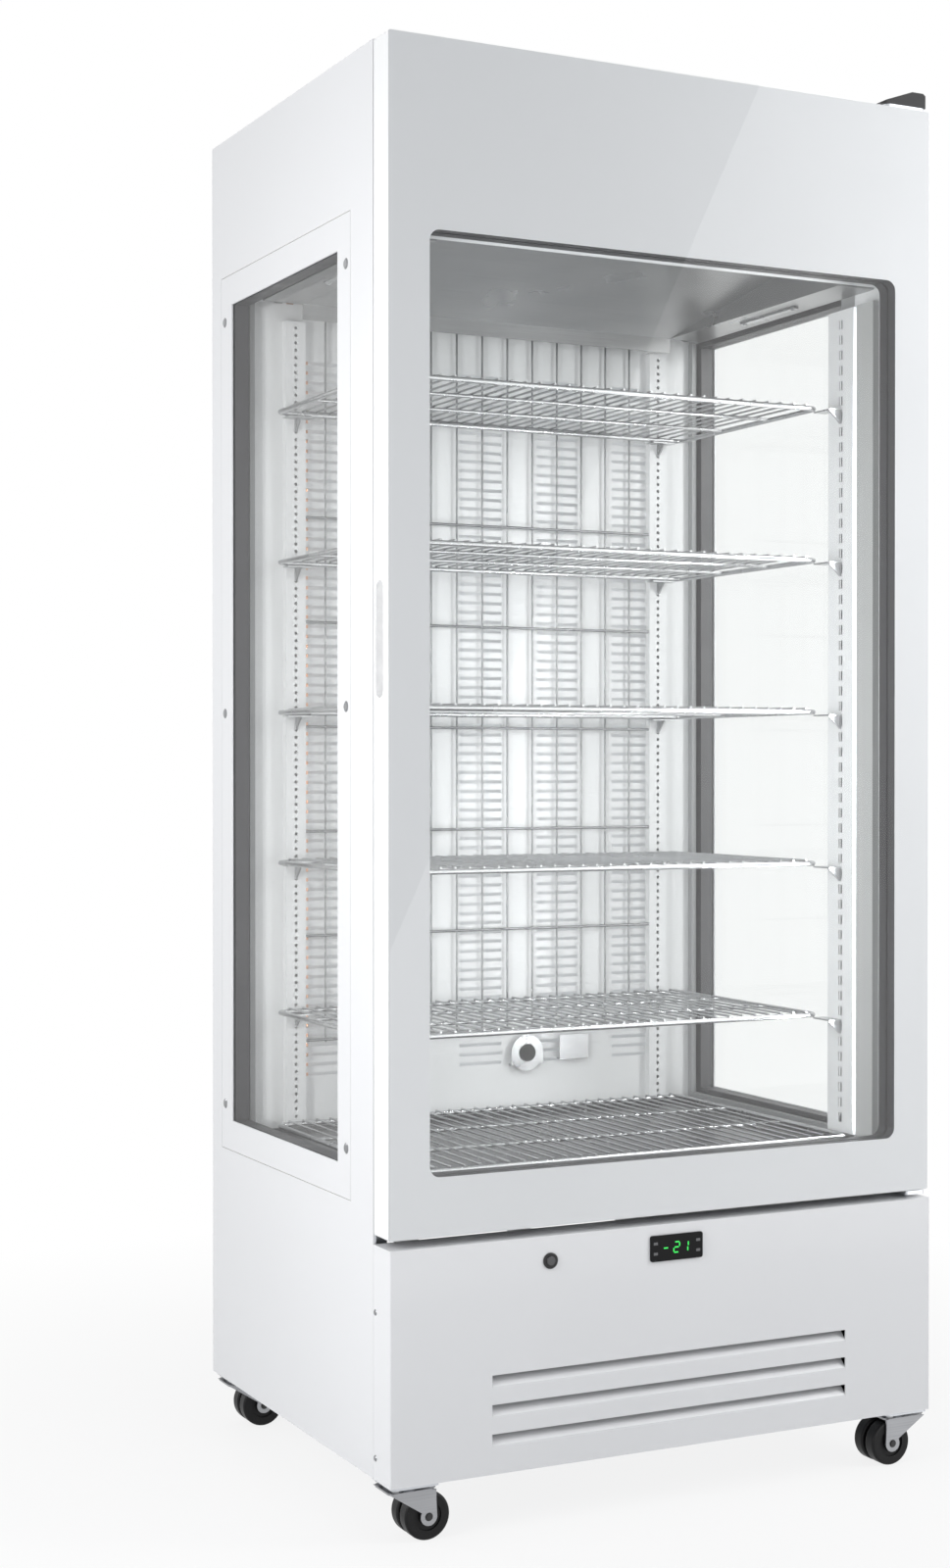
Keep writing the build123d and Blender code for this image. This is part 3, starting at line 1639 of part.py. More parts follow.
save("ceiling_cover", make_ceiling_cover())
save("evaporator_coil", make_evaporator_coil())
small_radius = evaporator_fan_size * fan_rotor_share
large_radius = condenser_fan_size * fan_rotor_share
small_housing = fan_housing(evaporator_fan_size, evaporator_fan_depth, small_radius)
large_housing = fan_housing(condenser_fan_size, condenser_fan_depth, large_radius)
save("fan_housings", evaporator_fan_place() * small_housing, condenser_fan_place() * large_housing)
save("evaporator_fan_rotor", evaporator_fan_place() * fan_rotor(evaporator_fan_depth, small_radius, 7))
save("condenser_fan_rotor", condenser_fan_place() * fan_rotor(condenser_fan_depth, large_radius, 5))

save("compressor", make_compressor(), *make_compressor_feet())
save("condenser_coil", make_condenser_coil())
save("electrical_box_and_gland", make_electrical_box(), make_cable_gland())
pipes = make_suction_line() + make_liquid_line() + make_condenser_lines()
save("refrigerant_lines", *pipes, make_filter_drier())
save("drain_pipe_and_tray", make_drain_pipe(), make_evaporation_tray())

save("caster_plates", *make_caster_plates())
caster_names = ("front_left", "front_right", "rear_left", "rear_right")
for caster_name, (caster_x, caster_y) in zip(caster_names, caster_centres()):
    save(f"caster_fork_{caster_name}", make_caster_fork(caster_x, caster_y))
    tyres, hub = make_caster_wheel(caster_x, caster_y)
    save(f"caster_wheel_{caster_name}", hub, *tyres)
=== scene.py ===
import math

import bmesh
import bpy
from mathutils import Matrix, Vector


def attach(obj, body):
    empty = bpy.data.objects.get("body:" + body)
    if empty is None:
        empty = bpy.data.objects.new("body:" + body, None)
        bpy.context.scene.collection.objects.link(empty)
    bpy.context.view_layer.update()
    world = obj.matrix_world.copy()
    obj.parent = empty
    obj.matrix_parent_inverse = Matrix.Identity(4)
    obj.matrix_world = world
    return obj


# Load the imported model

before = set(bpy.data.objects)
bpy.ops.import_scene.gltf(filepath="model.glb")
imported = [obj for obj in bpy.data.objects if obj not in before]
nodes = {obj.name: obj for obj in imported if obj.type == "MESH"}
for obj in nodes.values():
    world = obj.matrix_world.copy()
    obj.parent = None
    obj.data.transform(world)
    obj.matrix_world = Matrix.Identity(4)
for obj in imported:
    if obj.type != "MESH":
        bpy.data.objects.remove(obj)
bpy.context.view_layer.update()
scene = bpy.context.scene

# Camera at the photograph's place, in metres and degrees

CAMERA_PLACE = (-1.54849, -2.85570, 0.94261)
CAMERA_YAW = 26.357
CAMERA_PITCH = -0.441
CAMERA_LENS = 53.462
SENSOR_WIDTH = 36.0
FAR_CLIP = 50.0


def make_camera():
    """The camera that sees the case as the photograph does."""
    data = bpy.data.cameras.new("camera")
    data.lens = CAMERA_LENS
    data.sensor_width = SENSOR_WIDTH
    data.sensor_fit = "AUTO"
    data.clip_end = FAR_CLIP
    camera = bpy.data.objects.new("camera", data)
    scene.collection.objects.link(camera)
    camera.location = CAMERA_PLACE
    camera.rotation_euler = (math.radians(90 + CAMERA_PITCH), 0, math.radians(-CAMERA_YAW))
    scene.camera = camera


make_camera()

# Shader helpers

NOISE_LOW = 0.3
NOISE_HIGH = 0.7
COAT_ROUGHNESS = 0.1


def new_material(name):
    """An empty node material."""
    mat = bpy.data.materials.new(name)
    mat.use_nodes = True
    mat.node_tree.nodes.clear()
    return mat


def add_node(mat, kind, **values):
    """Add a node of a kind, with its own settings."""
    node = mat.node_tree.nodes.new(kind)
    for key, value in values.items():
        setattr(node, key, value)
    return node


def link(mat, source, target):
    """Join one socket to another."""
    mat.node_tree.links.new(source, target)


def find_node(mat, kind):
    """The material's first node of a kind."""
    return [node for node in mat.node_tree.nodes if node.type == kind][0]


def show_surface(mat, shader):
    """Send a shader to a new output of the material."""
    out = add_node(mat, "ShaderNodeOutputMaterial")
    link(mat, shader, out.inputs["Surface"])


def principled(mat, colour, roughness, metallic=0.0, coat=0.0, specular=0.5):
    """A Principled shader on the output, with its uniform values on its own sockets."""
    shader = add_node(mat, "ShaderNodeBsdfPrincipled")
    shader.inputs["Base Color"].default_value = (*colour, 1)
    shader.inputs["Roughness"].default_value = roughness
    shader.inputs["Metallic"].default_value = metallic
    shader.inputs["Coat Weight"].default_value = coat
    shader.inputs["Coat Roughness"].default_value = COAT_ROUGHNESS
    shader.inputs["Specular IOR Level"].default_value = specular
    show_surface(mat, shader.outputs[0])
    return shader


def place_texture(mat, stretch=(1, 1, 1)):
    """Object coordinates in metres, stretched along each axis."""
    where = add_node(mat, "ShaderNodeTexCoord")
    mapping = add_node(mat, "ShaderNodeMapping")
    mapping.inputs["Scale"].default_value = stretch
    link(mat, where.outputs["Object"], mapping.inputs["Vector"])
    return mapping.outputs["Vector"]


def object_axes(mat):
    """The three object coordinates as separate sockets."""
    where = add_node(mat, "ShaderNodeTexCoord")
    split = add_node(mat, "ShaderNodeSeparateXYZ")
    link(mat, where.outputs["Object"], split.inputs[0])
    return split.outputs


def noise(mat, vector, scale, detail, roughness=0.5):
    """Noise over a vector."""
    node = add_node(mat, "ShaderNodeTexNoise")
    node.inputs["Scale"].default_value = scale
    node.inputs["Detail"].default_value = detail
    node.inputs["Roughness"].default_value = roughness
    link(mat, vector, node.inputs["Vector"])
    return node.outputs["Fac"]


def remap(mat, value, low, high, from_low=NOISE_LOW, from_high=NOISE_HIGH):
    """Stretch a value from one range to another, held at both ends."""
    node = add_node(mat, "ShaderNodeMapRange")
    node.inputs["From Min"].default_value = from_low
    node.inputs["From Max"].default_value = from_high
    node.inputs["To Min"].default_value = low
    node.inputs["To Max"].default_value = high
    link(mat, value, node.inputs["Value"])
    return node.outputs["Result"]


def blend_colour(mat, factor, first, second):
    """A colour between two, by a factor."""
    node = add_node(mat, "ShaderNodeMix", data_type="RGBA")
    node.inputs[6].default_value = (*first, 1)
    node.inputs[7].default_value = (*second, 1)
    link(mat, factor, node.inputs[0])
    return node.outputs[2]


def calculate(mat, operation, *values):
    """Do one sum with sockets, which are linked, and numbers, which are set."""
    node = add_node(mat, "ShaderNodeMath", operation=operation)
    for place, value in zip(node.inputs, values):
        if isinstance(value, float):
            place.default_value = value
        else:
            link(mat, value, place)
    return node.outputs[0]


def mix_shaders(mat, share, first, second):
    """Blend two shaders, the share being how much of the second there is."""
    node = add_node(mat, "ShaderNodeMixShader")
    link(mat, share, node.inputs[0])
    link(mat, first, node.inputs[1])
    link(mat, second, node.inputs[2])
    return node.outputs[0]


def white_glow(mat, strength):
    """Plain white light."""
    node = add_node(mat, "ShaderNodeEmission")
    node.inputs["Strength"].default_value = strength
    return node.outputs[0]


def seen_by(mat, first, *others):
    """One for rays of the given kinds, and nought for the rest."""
    path = add_node(mat, "ShaderNodeLightPath")
    seen = path.outputs[first]
    for kind in others:
        seen = calculate(mat, "MAXIMUM", seen, path.outputs[kind])
    return seen


def bump_on(mat, shader, height, strength, distance):
    """Raise a shader's surface by a height."""
    node = add_node(mat, "ShaderNodeBump")
    node.inputs["Strength"].default_value = strength
    node.inputs["Distance"].default_value = distance
    link(mat, height, node.inputs["Height"])
    link(mat, node.outputs["Normal"], shader.inputs["Normal"])


def shade(colour, amount):
    """A colour made darker or lighter."""
    return tuple(min(1.0, c * amount) for c in colour)


# Material makers, with noise scales in cycles per metre and depths in metres

FINE_DEPTH = 0.0002
CLOUD_SCALE = 1.6
CLOUD_TONE = (0.985, 1.01)
PEEL_SCALE = 900.0
GLOSS_SCALE = 6.0
GLOSS_SPREAD = (0.94, 1.06)
BRUSH_ACROSS = 700.0
BRUSH_ALONG = 6.0
BRUSH_TONE = (0.88, 1.06)
BRUSH_STRENGTH = 0.12
STAIN_SCALE = 9.0
STAIN_SPREAD = (0.75, 1.3)
WEAR_SCALE = 30.0
WEAR_RANGE = (0.35, 0.75)
WEAR_TONE = (0.9, 1.12)
WEAR_SPREAD = (0.85, 1.2)
MOULD_GRAIN = 700.0
PANE_ROUGHNESS = 0.015
DIFFUSER_GRAIN = 120.0
DIFFUSER_DEPTH = 0.0003
AXLE_X = 0.345
AXLE_Z = 0.030
AXLE_MARK = 0.0052
AXLE_EDGE = 0.0003
# Painted shade: colour of the black disc that stands in for the dark axle hole
AXLE_HOLE_SHADE = (0.012, 0.012, 0.013)
DUCT_Y = 0.270
DUCT_SHEET = 0.002
# Painted light on the liner's rear sheet: glow strength and tint of the emission that stands in for
# the lit duct
DUCT_PAINTED_GLOW = 0.16
DUCT_PAINTED_GLOW_TINT = (0.93, 0.96, 1.0)


def coated_metal(name, colour, roughness, coat, peel=0.15):
    """Powder-coated or enamelled sheet: cloudy tone, uneven gloss and an orange-peel surface."""
    mat = new_material(name)
    shader = principled(mat, colour, roughness, coat=coat)
    vector = place_texture(mat)
    cloud = remap(mat, noise(mat, vector, CLOUD_SCALE, 2.0), 0, 1)
    fine = noise(mat, vector, PEEL_SCALE, 2.0)
    dark, light = CLOUD_TONE
    tone = blend_colour(mat, cloud, shade(colour, dark), shade(colour, light))
    link(mat, tone, shader.inputs["Base Color"])
    smooth, rough = GLOSS_SPREAD
    gloss = remap(mat, noise(mat, vector, GLOSS_SCALE, 2.0), roughness * smooth, roughness * rough)
    link(mat, gloss, shader.inputs["Roughness"])
    bump_on(mat, shader, fine, peel, FINE_DEPTH)
    return mat


def brushed_steel(name, colour, roughness, along):
    """Steel brushed along one axis: long fine streaks in tone, gloss and surface."""
    mat = new_material(name)
    shader = principled(mat, colour, roughness, 1.0)
    stretch = [BRUSH_ACROSS] * 3
    stretch[along] = BRUSH_ALONG
    streaks = noise(mat, place_texture(mat, stretch), 1.0, 4.0, 0.6)
    stains = noise(mat, place_texture(mat), STAIN_SCALE, 4.0)
    dark, light = BRUSH_TONE
    tone = blend_colour(mat, remap(mat, streaks, 0, 1), shade(colour, dark), shade(colour, light))
    link(mat, tone, shader.inputs["Base Color"])
    smooth, rough = STAIN_SPREAD
    gloss = remap(mat, stains, roughness * smooth, roughness * rough)
    link(mat, gloss, shader.inputs["Roughness"])
    bump_on(mat, shader, streaks, BRUSH_STRENGTH, FINE_DEPTH)
    return mat


def plain_plastic(name, colour, roughness, grain=MOULD_GRAIN, strength=0.2, specular=0.5):
    """Moulded plastic or rubber with a fine grain and slight wear."""
    mat = new_material(name)
    shader = principled(mat, colour, roughness, specular=specular)
    vector = place_texture(mat)
    wear = noise(mat, vector, WEAR_SCALE, 6.0, 0.6)
    dark, light = WEAR_TONE
    worn = remap(mat, wear, 0, 1, *WEAR_RANGE)
    tone = blend_colour(mat, worn, shade(colour, dark), shade(colour, light))
    link(mat, tone, shader.inputs["Base Color"])
    smooth, rough = WEAR_SPREAD
    link(mat, remap(mat, wear, roughness * smooth, roughness * rough), shader.inputs["Roughness"])
    bump_on(mat, shader, noise(mat, vector, grain, 2.0), strength, FINE_DEPTH)
    return mat


def window_glass(name, tint, reflectivity):
    """A thin pane: it mirrors by Fresnel on the side that faces the ray and lets the rest through."""
    mat = new_material(name)
    clear = add_node(mat, "ShaderNodeBsdfTransparent")
    clear.inputs["Color"].default_value = (*tint, 1)
    gloss = add_node(mat, "ShaderNodeBsdfGlossy")
    gloss.inputs["Roughness"].default_value = PANE_ROUGHNESS
    fresnel = add_node(mat, "ShaderNodeFresnel")
    fresnel.inputs["IOR"].default_value = reflectivity
    facing = add_node(mat, "ShaderNodeNewGeometry")
    outside = calculate(mat, "SUBTRACT", 1.0, facing.outputs["Backfacing"])
    share = calculate(mat, "MULTIPLY", fresnel.outputs[0], outside)
    show_surface(mat, mix_shaders(mat, share, clear.outputs[0], gloss.outputs[0]))
    return mat


def fork_steel(name, colour, roughness):
    """Zinc-plated fork with painted shade: a black disc in the middle of each lobe stands in for the
    dark axle hole.
    """
    mat = brushed_steel(name, colour, roughness, 0)
    shader = find_node(mat, "BSDF_PRINCIPLED")
    axes = object_axes(mat)
    side = calculate(mat, "ABSOLUTE", axes["X"])
    offset = add_node(mat, "ShaderNodeCombineXYZ")
    link(mat, calculate(mat, "SUBTRACT", side, AXLE_X), offset.inputs["X"])
    link(mat, calculate(mat, "SUBTRACT", axes["Z"], AXLE_Z), offset.inputs["Z"])
    radius = add_node(mat, "ShaderNodeVectorMath", operation="LENGTH")
    link(mat, offset.outputs[0], radius.inputs[0])
    inner = AXLE_MARK - AXLE_EDGE
    outer = AXLE_MARK + AXLE_EDGE
    edge = remap(mat, radius.outputs["Value"], 0.0, 1.0, inner, outer)
    # Painted shade: a black, non-metallic disc at each axle's place
    mix = add_node(mat, "ShaderNodeMix", data_type="RGBA")
    mix.inputs[6].default_value = (*AXLE_HOLE_SHADE, 1)
    link(mat, shader.inputs["Base Color"].links[0].from_socket, mix.inputs[7])
    link(mat, edge, mix.inputs[0])
    link(mat, mix.outputs[2], shader.inputs["Base Color"])
    link(mat, edge, shader.inputs["Metallic"])
    return mat


def liner_with_painted_glow(name, colour):
    """White liner with painted light: its rear sheet glows faintly, standing in for the lamps lighting
    the air duct behind its panel.
    """
    mat = coated_metal(name, colour, 0.32, 0.15, 0.1)
    shader = find_node(mat, "BSDF_PRINCIPLED")
    # Painted light: the rear sheet's emission stands in for lamp light in the air duct behind the duct
    # panel
    rear = remap(mat, object_axes(mat)["Y"], 0.0, DUCT_PAINTED_GLOW, DUCT_Y, DUCT_Y + DUCT_SHEET)
    shader.inputs["Emission Color"].default_value = (*DUCT_PAINTED_GLOW_TINT, 1)
    link(mat, rear, shader.inputs["Emission Strength"])
    return mat


def glowing(name, colour, strength, base=(0.8, 0.8, 0.8)):
    """A lit cover with a faint grain."""
    mat = new_material(name)
    shader = principled(mat, base, 0.4)
    shader.inputs["Emission Color"].default_value = (*colour, 1)
    shader.inputs["Emission Strength"].default_value = strength
    grain = noise(mat, place_texture(mat), DIFFUSER_GRAIN, 2.0)
    bump_on(mat, shader, grain, 0.1, DIFFUSER_DEPTH)
    return mat


# Materials

WHITE = (0.745, 0.75, 0.765)
ALONG_X = 0
ALONG_Y = 1
ALONG_Z = 2
materials = {
    "white": coated_metal("white_powder_coat", WHITE, 0.30, 0.3),
    "print": coated_metal("white_glass_print", (0.73, 0.735, 0.75), 0.5, 0.0, 0.01),
    "profile": coated_metal("white_profile", (0.86, 0.865, 0.87), 0.35, 0.2),
    "pull": plain_plastic("white_pull_cup", (0.93, 0.93, 0.935), 0.35),
    "panel": coated_metal("white_liner", (0.80, 0.805, 0.81), 0.32, 0.15, 0.1),
    "housing": coated_metal("grey_lamp_housing", (0.46, 0.465, 0.46), 0.38, 0.1, 0.1),
    "liner": liner_with_painted_glow("liner_with_painted_glow", (0.80, 0.805, 0.81)),
    "grey_profile": coated_metal("grey_profile", (0.30, 0.305, 0.31), 0.4, 0.0, 0.2),
    "glass": window_glass("side_window_glass", (0.991, 0.993, 0.992), 1.35),
    "inner_glass": window_glass("inner_door_glass", (0.991, 0.993, 0.992), 1.12),
    "front_glass": window_glass("front_glass", (0.99, 0.993, 0.993), 1.5),
    "seal": plain_plastic("black_edge_seal", (0.018, 0.018, 0.022), 0.45),
    "screw": brushed_steel("screw_steel", (0.27, 0.275, 0.285), 0.28, ALONG_X),
    "black": plain_plastic("black_plastic", (0.008, 0.008, 0.009), 0.38, specular=0.3),
    "display": plain_plastic("display_bezel", (0.002, 0.002, 0.0025), 0.3, 900.0, 0.03, 0.12),
    "button": plain_plastic("switch_button", (0.045, 0.045, 0.048), 0.3),
    "grey": plain_plastic("grey_plastic", (0.42, 0.43, 0.44), 0.4),
    "gasket": plain_plastic("grey_gasket", (0.45, 0.46, 0.47), 0.6),
    "zinc": brushed_steel("zinc_steel", (0.58, 0.60, 0.63), 0.33, ALONG_X),
    "fork": fork_steel("fork_steel", (0.34, 0.345, 0.36), 0.36),
    "stainless": brushed_steel("stainless_sheet", (0.48, 0.485, 0.495), 0.30, ALONG_X),
    "ceiling": brushed_steel("ceiling_steel", (0.37, 0.372, 0.376), 0.34, ALONG_X),
    "wire": brushed_steel("bright_wire", (0.52, 0.525, 0.535), 0.25, ALONG_Y),
    "guard": brushed_steel("guard_wire", (0.24, 0.243, 0.25), 0.35, ALONG_Z),
    "tray": coated_metal("dark_tray", (0.030, 0.031, 0.036), 0.28, 0.3, 0.4),
    "foam": plain_plastic("insulation_foam", (0.74, 0.66, 0.42), 0.9, 90.0, 0.6),
    "fins": brushed_steel("coil_fins", (0.66, 0.67, 0.68), 0.4, ALONG_Z),
    "enamel": coated_metal("black_enamel", (0.012, 0.012, 0.013), 0.2, 0.4),
    "copper": brushed_steel("copper_pipe", (0.72, 0.40, 0.25), 0.3, ALONG_Z),
    "tyre": plain_plastic("black_tyre", (0.006, 0.006, 0.0065), 0.42, 260.0, 0.25, 0.22),
    "lens": glowing("lamp_lens", (0.93, 0.97, 1.0), 3.0),
    "digits": glowing("display_green", (0.03, 1.0, 0.12), 0.9, (0.0, 0.08, 0.01)),
    "keys": plain_plastic("display_keys", (0.10, 0.10, 0.105), 0.4),
}

CORNERS = ("front_left", "front_right", "rear_left", "rear_right")
LOOKS = {
    "white": ["left_side_panel", "right_side_panel", "roof_and_rear_panels", "front_frame",
              "side_window_trims", "lower_front_cover"],
    "print": ["door_border_print"],
    "profile": ["door_frame"],
    "housing": ["lamp_housings"],
    "pull": ["door_pull_cup"],
    "panel": ["duct_panel", "shelf_uprights"],
    "liner": ["chamber_liner"],
    "grey_profile": ["side_window_inner_frames"],
    "glass": ["side_window_panes"],
    "inner_glass": ["door_inner_panes"],
    "front_glass": ["door_front_glass"],
    "seal": ["side_window_spacers", "door_spacers"],
    "screw": ["fasteners"],
    "black": ["lamp_switch_housing", "hinge_cap_and_washer", "temperature_probe", "fan_housings",
              "evaporator_fan_rotor", "electrical_box_and_gland"],
    "display": ["temperature_controller"],
    "button": ["lamp_switch_button"],
    "grey": ["condenser_fan_rotor", "drain_pipe_and_tray"],
    "gasket": ["door_gasket"],
    "zinc": ["chassis", "door_hinges", "caster_plates"],
    "fork": [f"caster_fork_{corner}" for corner in CORNERS],
    "stainless": ["shelf_clips", "chamber_brackets"],
    "ceiling": ["ceiling_cover"],
    "guard": ["wire_guard"],
    "wire": ["bottom_rack"] + [f"wire_shelf_{k}" for k in range(1, 6)],
    "tray": ["floor_tray"],
    "foam": ["body_insulation", "door_insulation"],
    "lens": ["lamp_lenses"],
    "fins": ["evaporator_coil", "condenser_coil"],
    "enamel": ["compressor"],
    "copper": ["refrigerant_lines"],
    "tyre": [f"caster_wheel_{corner}" for corner in CORNERS],
}

# Rounding of visible edges, in millimetres

SOFT_EDGES = {
    "left_side_panel": 0.8, "right_side_panel": 0.8, "roof_and_rear_panels": 0.6,
    "side_window_trims": 0.7, "lower_front_cover": 0.8, "door_frame": 0.6, "door_front_glass": 0.8,
    "temperature_controller": 0.8, "front_frame": 0.5, "lamp_housings": 0.8, "shelf_uprights": 0.5,
    "floor_tray": 0.6, "hinge_cap_and_washer": 1.2, "door_hinges": 0.6,
}
SHARP_ANGLE = 40
GLASS_NODES = ("door_front_glass", "door_inner_panes", "side_window_panes")
GLASS_GAP = 0.0001


def dress_nodes():
    """Give every CAD node its material, and soften the edges that catch the light."""
    for look, names in LOOKS.items():
        for name in names:
            mesh = nodes[name].data
            mesh.materials.clear()
            mesh.materials.append(materials[look])
    for name, width in SOFT_EDGES.items():
        bevel = nodes[name].modifiers.new("soft_edges", "BEVEL")
        bevel.width = width / 1000
        bevel.segments = 2
        bevel.limit_method = "ANGLE"
        bevel.angle_limit = math.radians(SHARP_ANGLE)
        bevel.use_clamp_overlap = True


def part_glass():
    """Draw the glass a tenth of a millimetre thinner, so its faces don't meet what touches it."""
    for name in GLASS_NODES:
        shrink = nodes[name].modifiers.new("glass_gap", "DISPLACE")
        shrink.mid_level = 0.0
        shrink.strength = -GLASS_GAP


dress_nodes()
part_glass()

# Small pieces on the temperature controller

BEZEL_Y = -0.3110
DISPLAY_Z = 0.329
DIGIT_WIDTH = 0.0078
DIGIT_HEIGHT = 0.0132
SEGMENT = 0.0017
SLANT = 0.12
RELIEF = 0.0003
ROUNDING = RELIEF / 4
DIGIT_PLACES = ((-0.0165, "g"), (-0.0005, "abged"), (0.0125, "bc"))
KEY_X = 0.0315
KEY_RISE = 0.0065
KEY_WIDTH = 0.006
KEY_HEIGHT = 0.0035
KEY_PLACES = ((-KEY_X, KEY_RISE), (-KEY_X, -KEY_RISE), (KEY_X, KEY_RISE), (KEY_X, -KEY_RISE))


def add_bar(mesh, x, z, width, height):
    """Add one raised, bevelled bar on the bezel to a mesh that is being built."""
    made = bmesh.ops.create_cube(mesh, size=1.0)
    centre = (x, BEZEL_Y - RELIEF / 2, DISPLAY_Z + z)
    place = Matrix.Translation(centre) @ Matrix.Diagonal((width, RELIEF, height, 1.0))
    bmesh.ops.transform(mesh, matrix=place, verts=made["verts"])
    edges = {edge for vert in made["verts"] for edge in vert.link_edges}
    bmesh.ops.bevel(mesh, geom=list(edges), offset=ROUNDING, segments=2, affect="EDGES", profile=0.5)


def segment_bar(letter):
    """Centre and size of one segment of a digit, from the digit's own centre."""
    half_w = DIGIT_WIDTH / 2
    half_h = DIGIT_HEIGHT / 2
    level = (DIGIT_WIDTH - SEGMENT, SEGMENT)
    upright = (SEGMENT, half_h - SEGMENT)
    shapes = {
        "a": ((0, half_h), level),
        "b": ((half_w, half_h / 2), upright),
        "c": ((half_w, -half_h / 2), upright),
        "d": ((0, -half_h), level),
        "e": ((-half_w, -half_h / 2), upright),
        "g": ((0, 0), level),
    }
    return shapes[letter]


def finish_piece(name, mesh, look, body):
    """Turn a built mesh into a piece that rides on a body."""
    data = bpy.data.meshes.new(name)
    mesh.to_mesh(data)
    mesh.free()
    data.materials.append(materials[look])
    piece = bpy.data.objects.new(name, data)
    scene.collection.objects.link(piece)
    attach(piece, body)


def make_digits():
    """The display's green digits, slightly slanted."""
    mesh = bmesh.new()
    for middle, letters in DIGIT_PLACES:
        for letter in letters:
            (x, z), (width, height) = segment_bar(letter)
            add_bar(mesh, middle + x + SLANT * z, z, width, height)
    finish_piece("display_digits", mesh, "digits", "cabinet")


def make_keys():
    """Four flat keys beside the digits."""
    mesh = bmesh.new()
    for x, z in KEY_PLACES:
        add_bar(mesh, x, z, KEY_WIDTH, KEY_HEIGHT)
    finish_piece("display_keys", mesh, "keys", "cabinet")


make_digits()
make_keys()

# Studio

STUDIO_TINT = (0.96, 0.98, 1.0)
STUDIO_LEVEL = 0.52
FLOOR_HALF = 14.0
FLOOR_COLOUR = (0.66, 0.665, 0.67)
FLOOR_CLOUD = ((0.655, 0.657, 0.66), (0.67, 0.672, 0.675))
FLOOR_CLOUD_SCALE = 1.2
FLOOR_SPECULAR = 0.2
FLOOR_GLOW = (0.84, 1.0)
FLOOR_FADE = (0.55, 1.6)
CARD_Y = -1.5085
CARD_CORNERS = ((0.997, 2.415), (-0.149, 0.005), (2.240, 0.005), (2.233, 2.595))
CARD_STRENGTH = 2.6

# Each studio light's name, place, target and size in metres, and power in watts

STUDIO_LIGHTS = (
    ("front_light", (1.80, -1.45, 1.72), (0.10, -0.30, 1.30), (0.5, 1.5), 25.0),
    ("side_light", (-1.58, -0.62, 1.05), (-0.40, -0.28, 1.00), (0.4, 1.2), 14.5),
    ("top_light", (0.3, -0.8, 3.7), (0.1, -0.2, 1.0), (2.6, 2.0), 14.0),
    ("rear_light", (-3.40, 3.10, 1.80), (0.00, 0.30, 1.00), (1.4, 1.4), 30.0),
)

# The light of the case's own two lamps

LAMP_X = 0.3535
LAMP_Y = -0.2105
LAMP_Z = 0.96
LAMP_REACH = 0.7
LAMP_TARGET_Y = -0.13
LAMP_SIZE = (0.008, 1.02)
LAMP_POWER = 3.8
LAMP_TINT = (0.98, 0.99, 1.0)


def background(world, colour, strength):
    """An even light from all round."""
    node = add_node(world, "ShaderNodeBackground")
    node.inputs["Color"].default_value = (*colour, 1)
    node.inputs["Strength"].default_value = strength
    return node.outputs[0]


def make_world():
    """A plain studio that lights the case softly and looks white where it is seen."""
    world = bpy.data.worlds.new("studio")
    world.use_nodes = True
    world.node_tree.nodes.clear()
    scene.world = world
    seen = seen_by(world, "Is Camera Ray", "Is Transmission Ray", "Is Glossy Ray")
    lit = background(world, STUDIO_TINT, STUDIO_LEVEL)
    white = background(world, (1, 1, 1), 1.0)
    out = add_node(world, "ShaderNodeOutputWorld")
    link(world, mix_shaders(world, seen, lit, white), out.inputs["Surface"])


def floor_material():
    """Pale floor that turns to plain white away from the case."""
    mat = new_material("pale_floor")
    shader = principled(mat, FLOOR_COLOUR, 0.6, specular=FLOOR_SPECULAR)
    vector = place_texture(mat)
    cloud = remap(mat, noise(mat, vector, FLOOR_CLOUD_SCALE, 3.0), 0, 1)
    link(mat, blend_colour(mat, cloud, *FLOOR_CLOUD), shader.inputs["Base Color"])
    away = add_node(mat, "ShaderNodeVectorMath", operation="LENGTH")
    link(mat, vector, away.inputs[0])
    fade = remap(mat, away.outputs["Value"], *FLOOR_GLOW, *FLOOR_FADE)
    share = calculate(mat, "MULTIPLY", seen_by(mat, "Is Camera Ray", "Is Glossy Ray"), fade)
    mix = mix_shaders(mat, share, shader.outputs[0], white_glow(mat, 1.0))
    link(mat, mix, find_node(mat, "OUTPUT_MATERIAL").inputs["Surface"])
    return mat


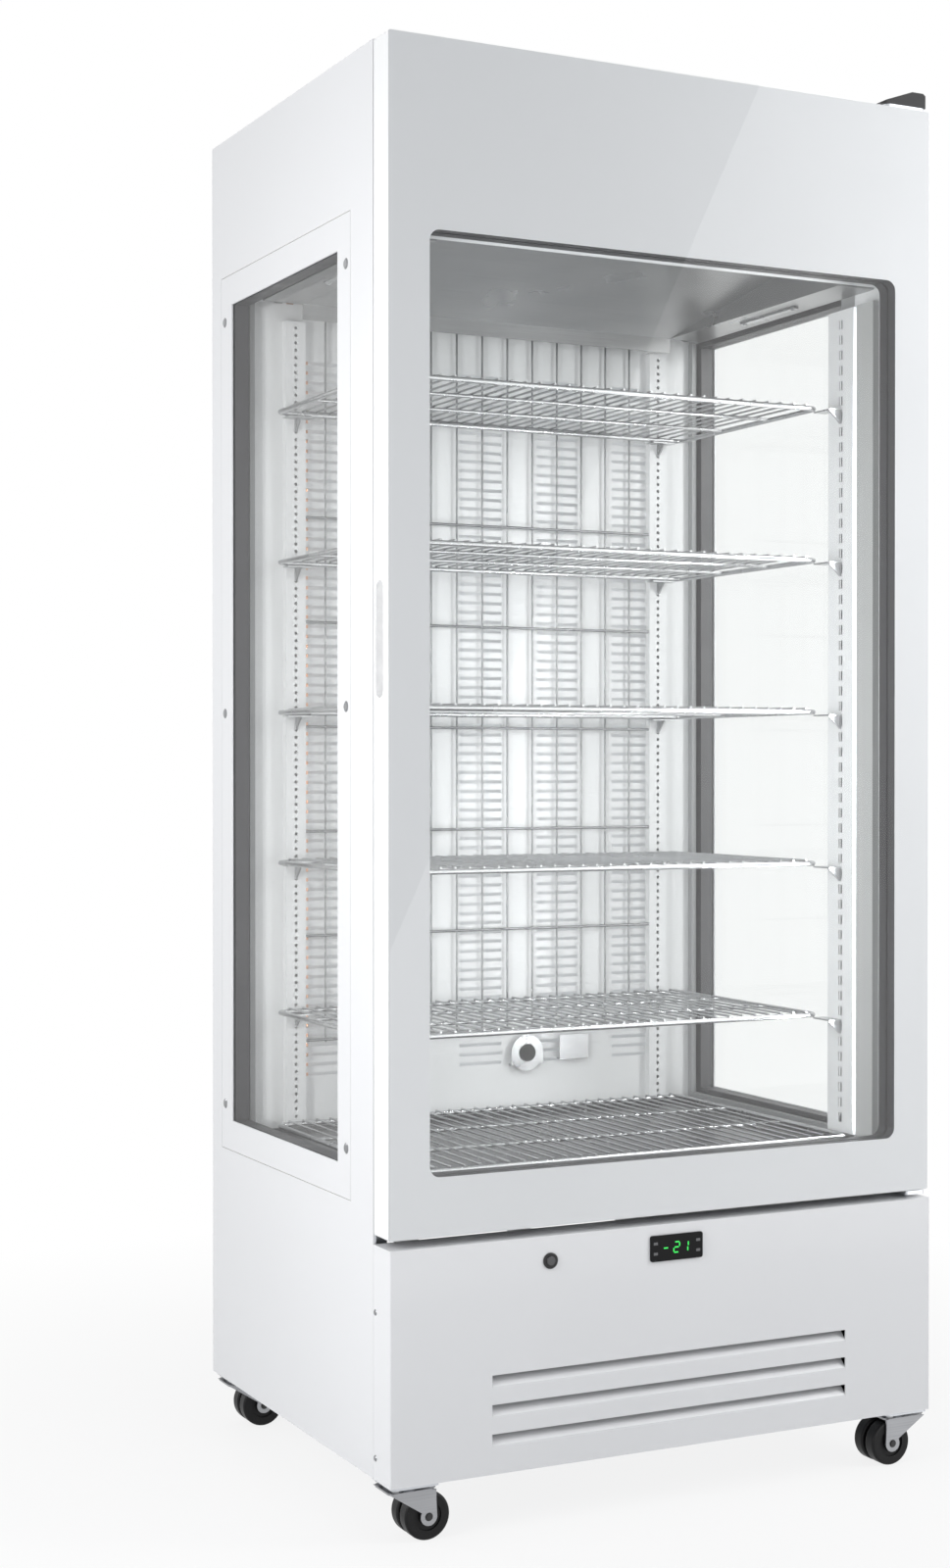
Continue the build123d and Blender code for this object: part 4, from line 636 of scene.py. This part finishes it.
def flat_piece(name, corners, mat):
    """An object of one flat face."""
    mesh = bpy.data.meshes.new(name)
    mesh.from_pydata(corners, [], [(0, 1, 2, 3)])
    mesh.materials.append(mat)
    piece = bpy.data.objects.new(name, mesh)
    scene.collection.objects.link(piece)
    return piece


def make_floor():
    """A pale floor that stays white to the camera and still takes the case's shadow."""
    half = FLOOR_HALF
    corners = [(-half, -half, 0), (half, -half, 0), (half, half, 0), (-half, half, 0)]
    floor = flat_piece("floor", corners, floor_material())


def make_reflection_card():
    """A bright card that only mirrors see: it lays a soft slanted sheen over the front glass."""
    mat = new_material("reflection_card")
    show_surface(mat, white_glow(mat, CARD_STRENGTH))
    card = flat_piece("reflection_card", [(x, CARD_Y, z) for x, z in CARD_CORNERS], mat)
    card.visible_camera = False
    card.visible_diffuse = False
    card.visible_transmission = False
    card.visible_shadow = False


def area_light(name, place, target, size, power, colour=(1, 1, 1)):
    """A rectangular lamp at a place, turned to a target."""
    data = bpy.data.lights.new(name, "AREA")
    data.shape = "RECTANGLE"
    data.size, data.size_y = size
    data.energy = power
    data.color = colour
    lamp = bpy.data.objects.new(name, data)
    scene.collection.objects.link(lamp)
    lamp.location = place
    aim = Vector(target) - Vector(place)
    lamp.rotation_euler = aim.to_track_quat("-Z", "Y").to_euler()
    return lamp


def make_lamp_light(name, side):
    """The light that one of the case's own lamps throws across the chamber."""
    x = side * LAMP_X
    target = (x - side * LAMP_REACH, LAMP_TARGET_Y, LAMP_Z)
    lamp = area_light(name, (x, LAMP_Y, LAMP_Z), target, LAMP_SIZE, LAMP_POWER, LAMP_TINT)
    lamp.visible_camera = False


make_world()
make_floor()
make_reflection_card()
for light in STUDIO_LIGHTS:
    area_light(*light)
make_lamp_light("lamp_light_left", -1)
make_lamp_light("lamp_light_right", 1)

# Rendering limits for many panes of glass

TRANSPARENT_BOUNCES = 48
BOUNCES = 12
INDIRECT_CLAMP = 4.0
scene.view_settings.view_transform = "Standard"
scene.cycles.transparent_max_bounces = TRANSPARENT_BOUNCES
scene.cycles.max_bounces = BOUNCES
scene.cycles.sample_clamp_indirect = INDIRECT_CLAMP
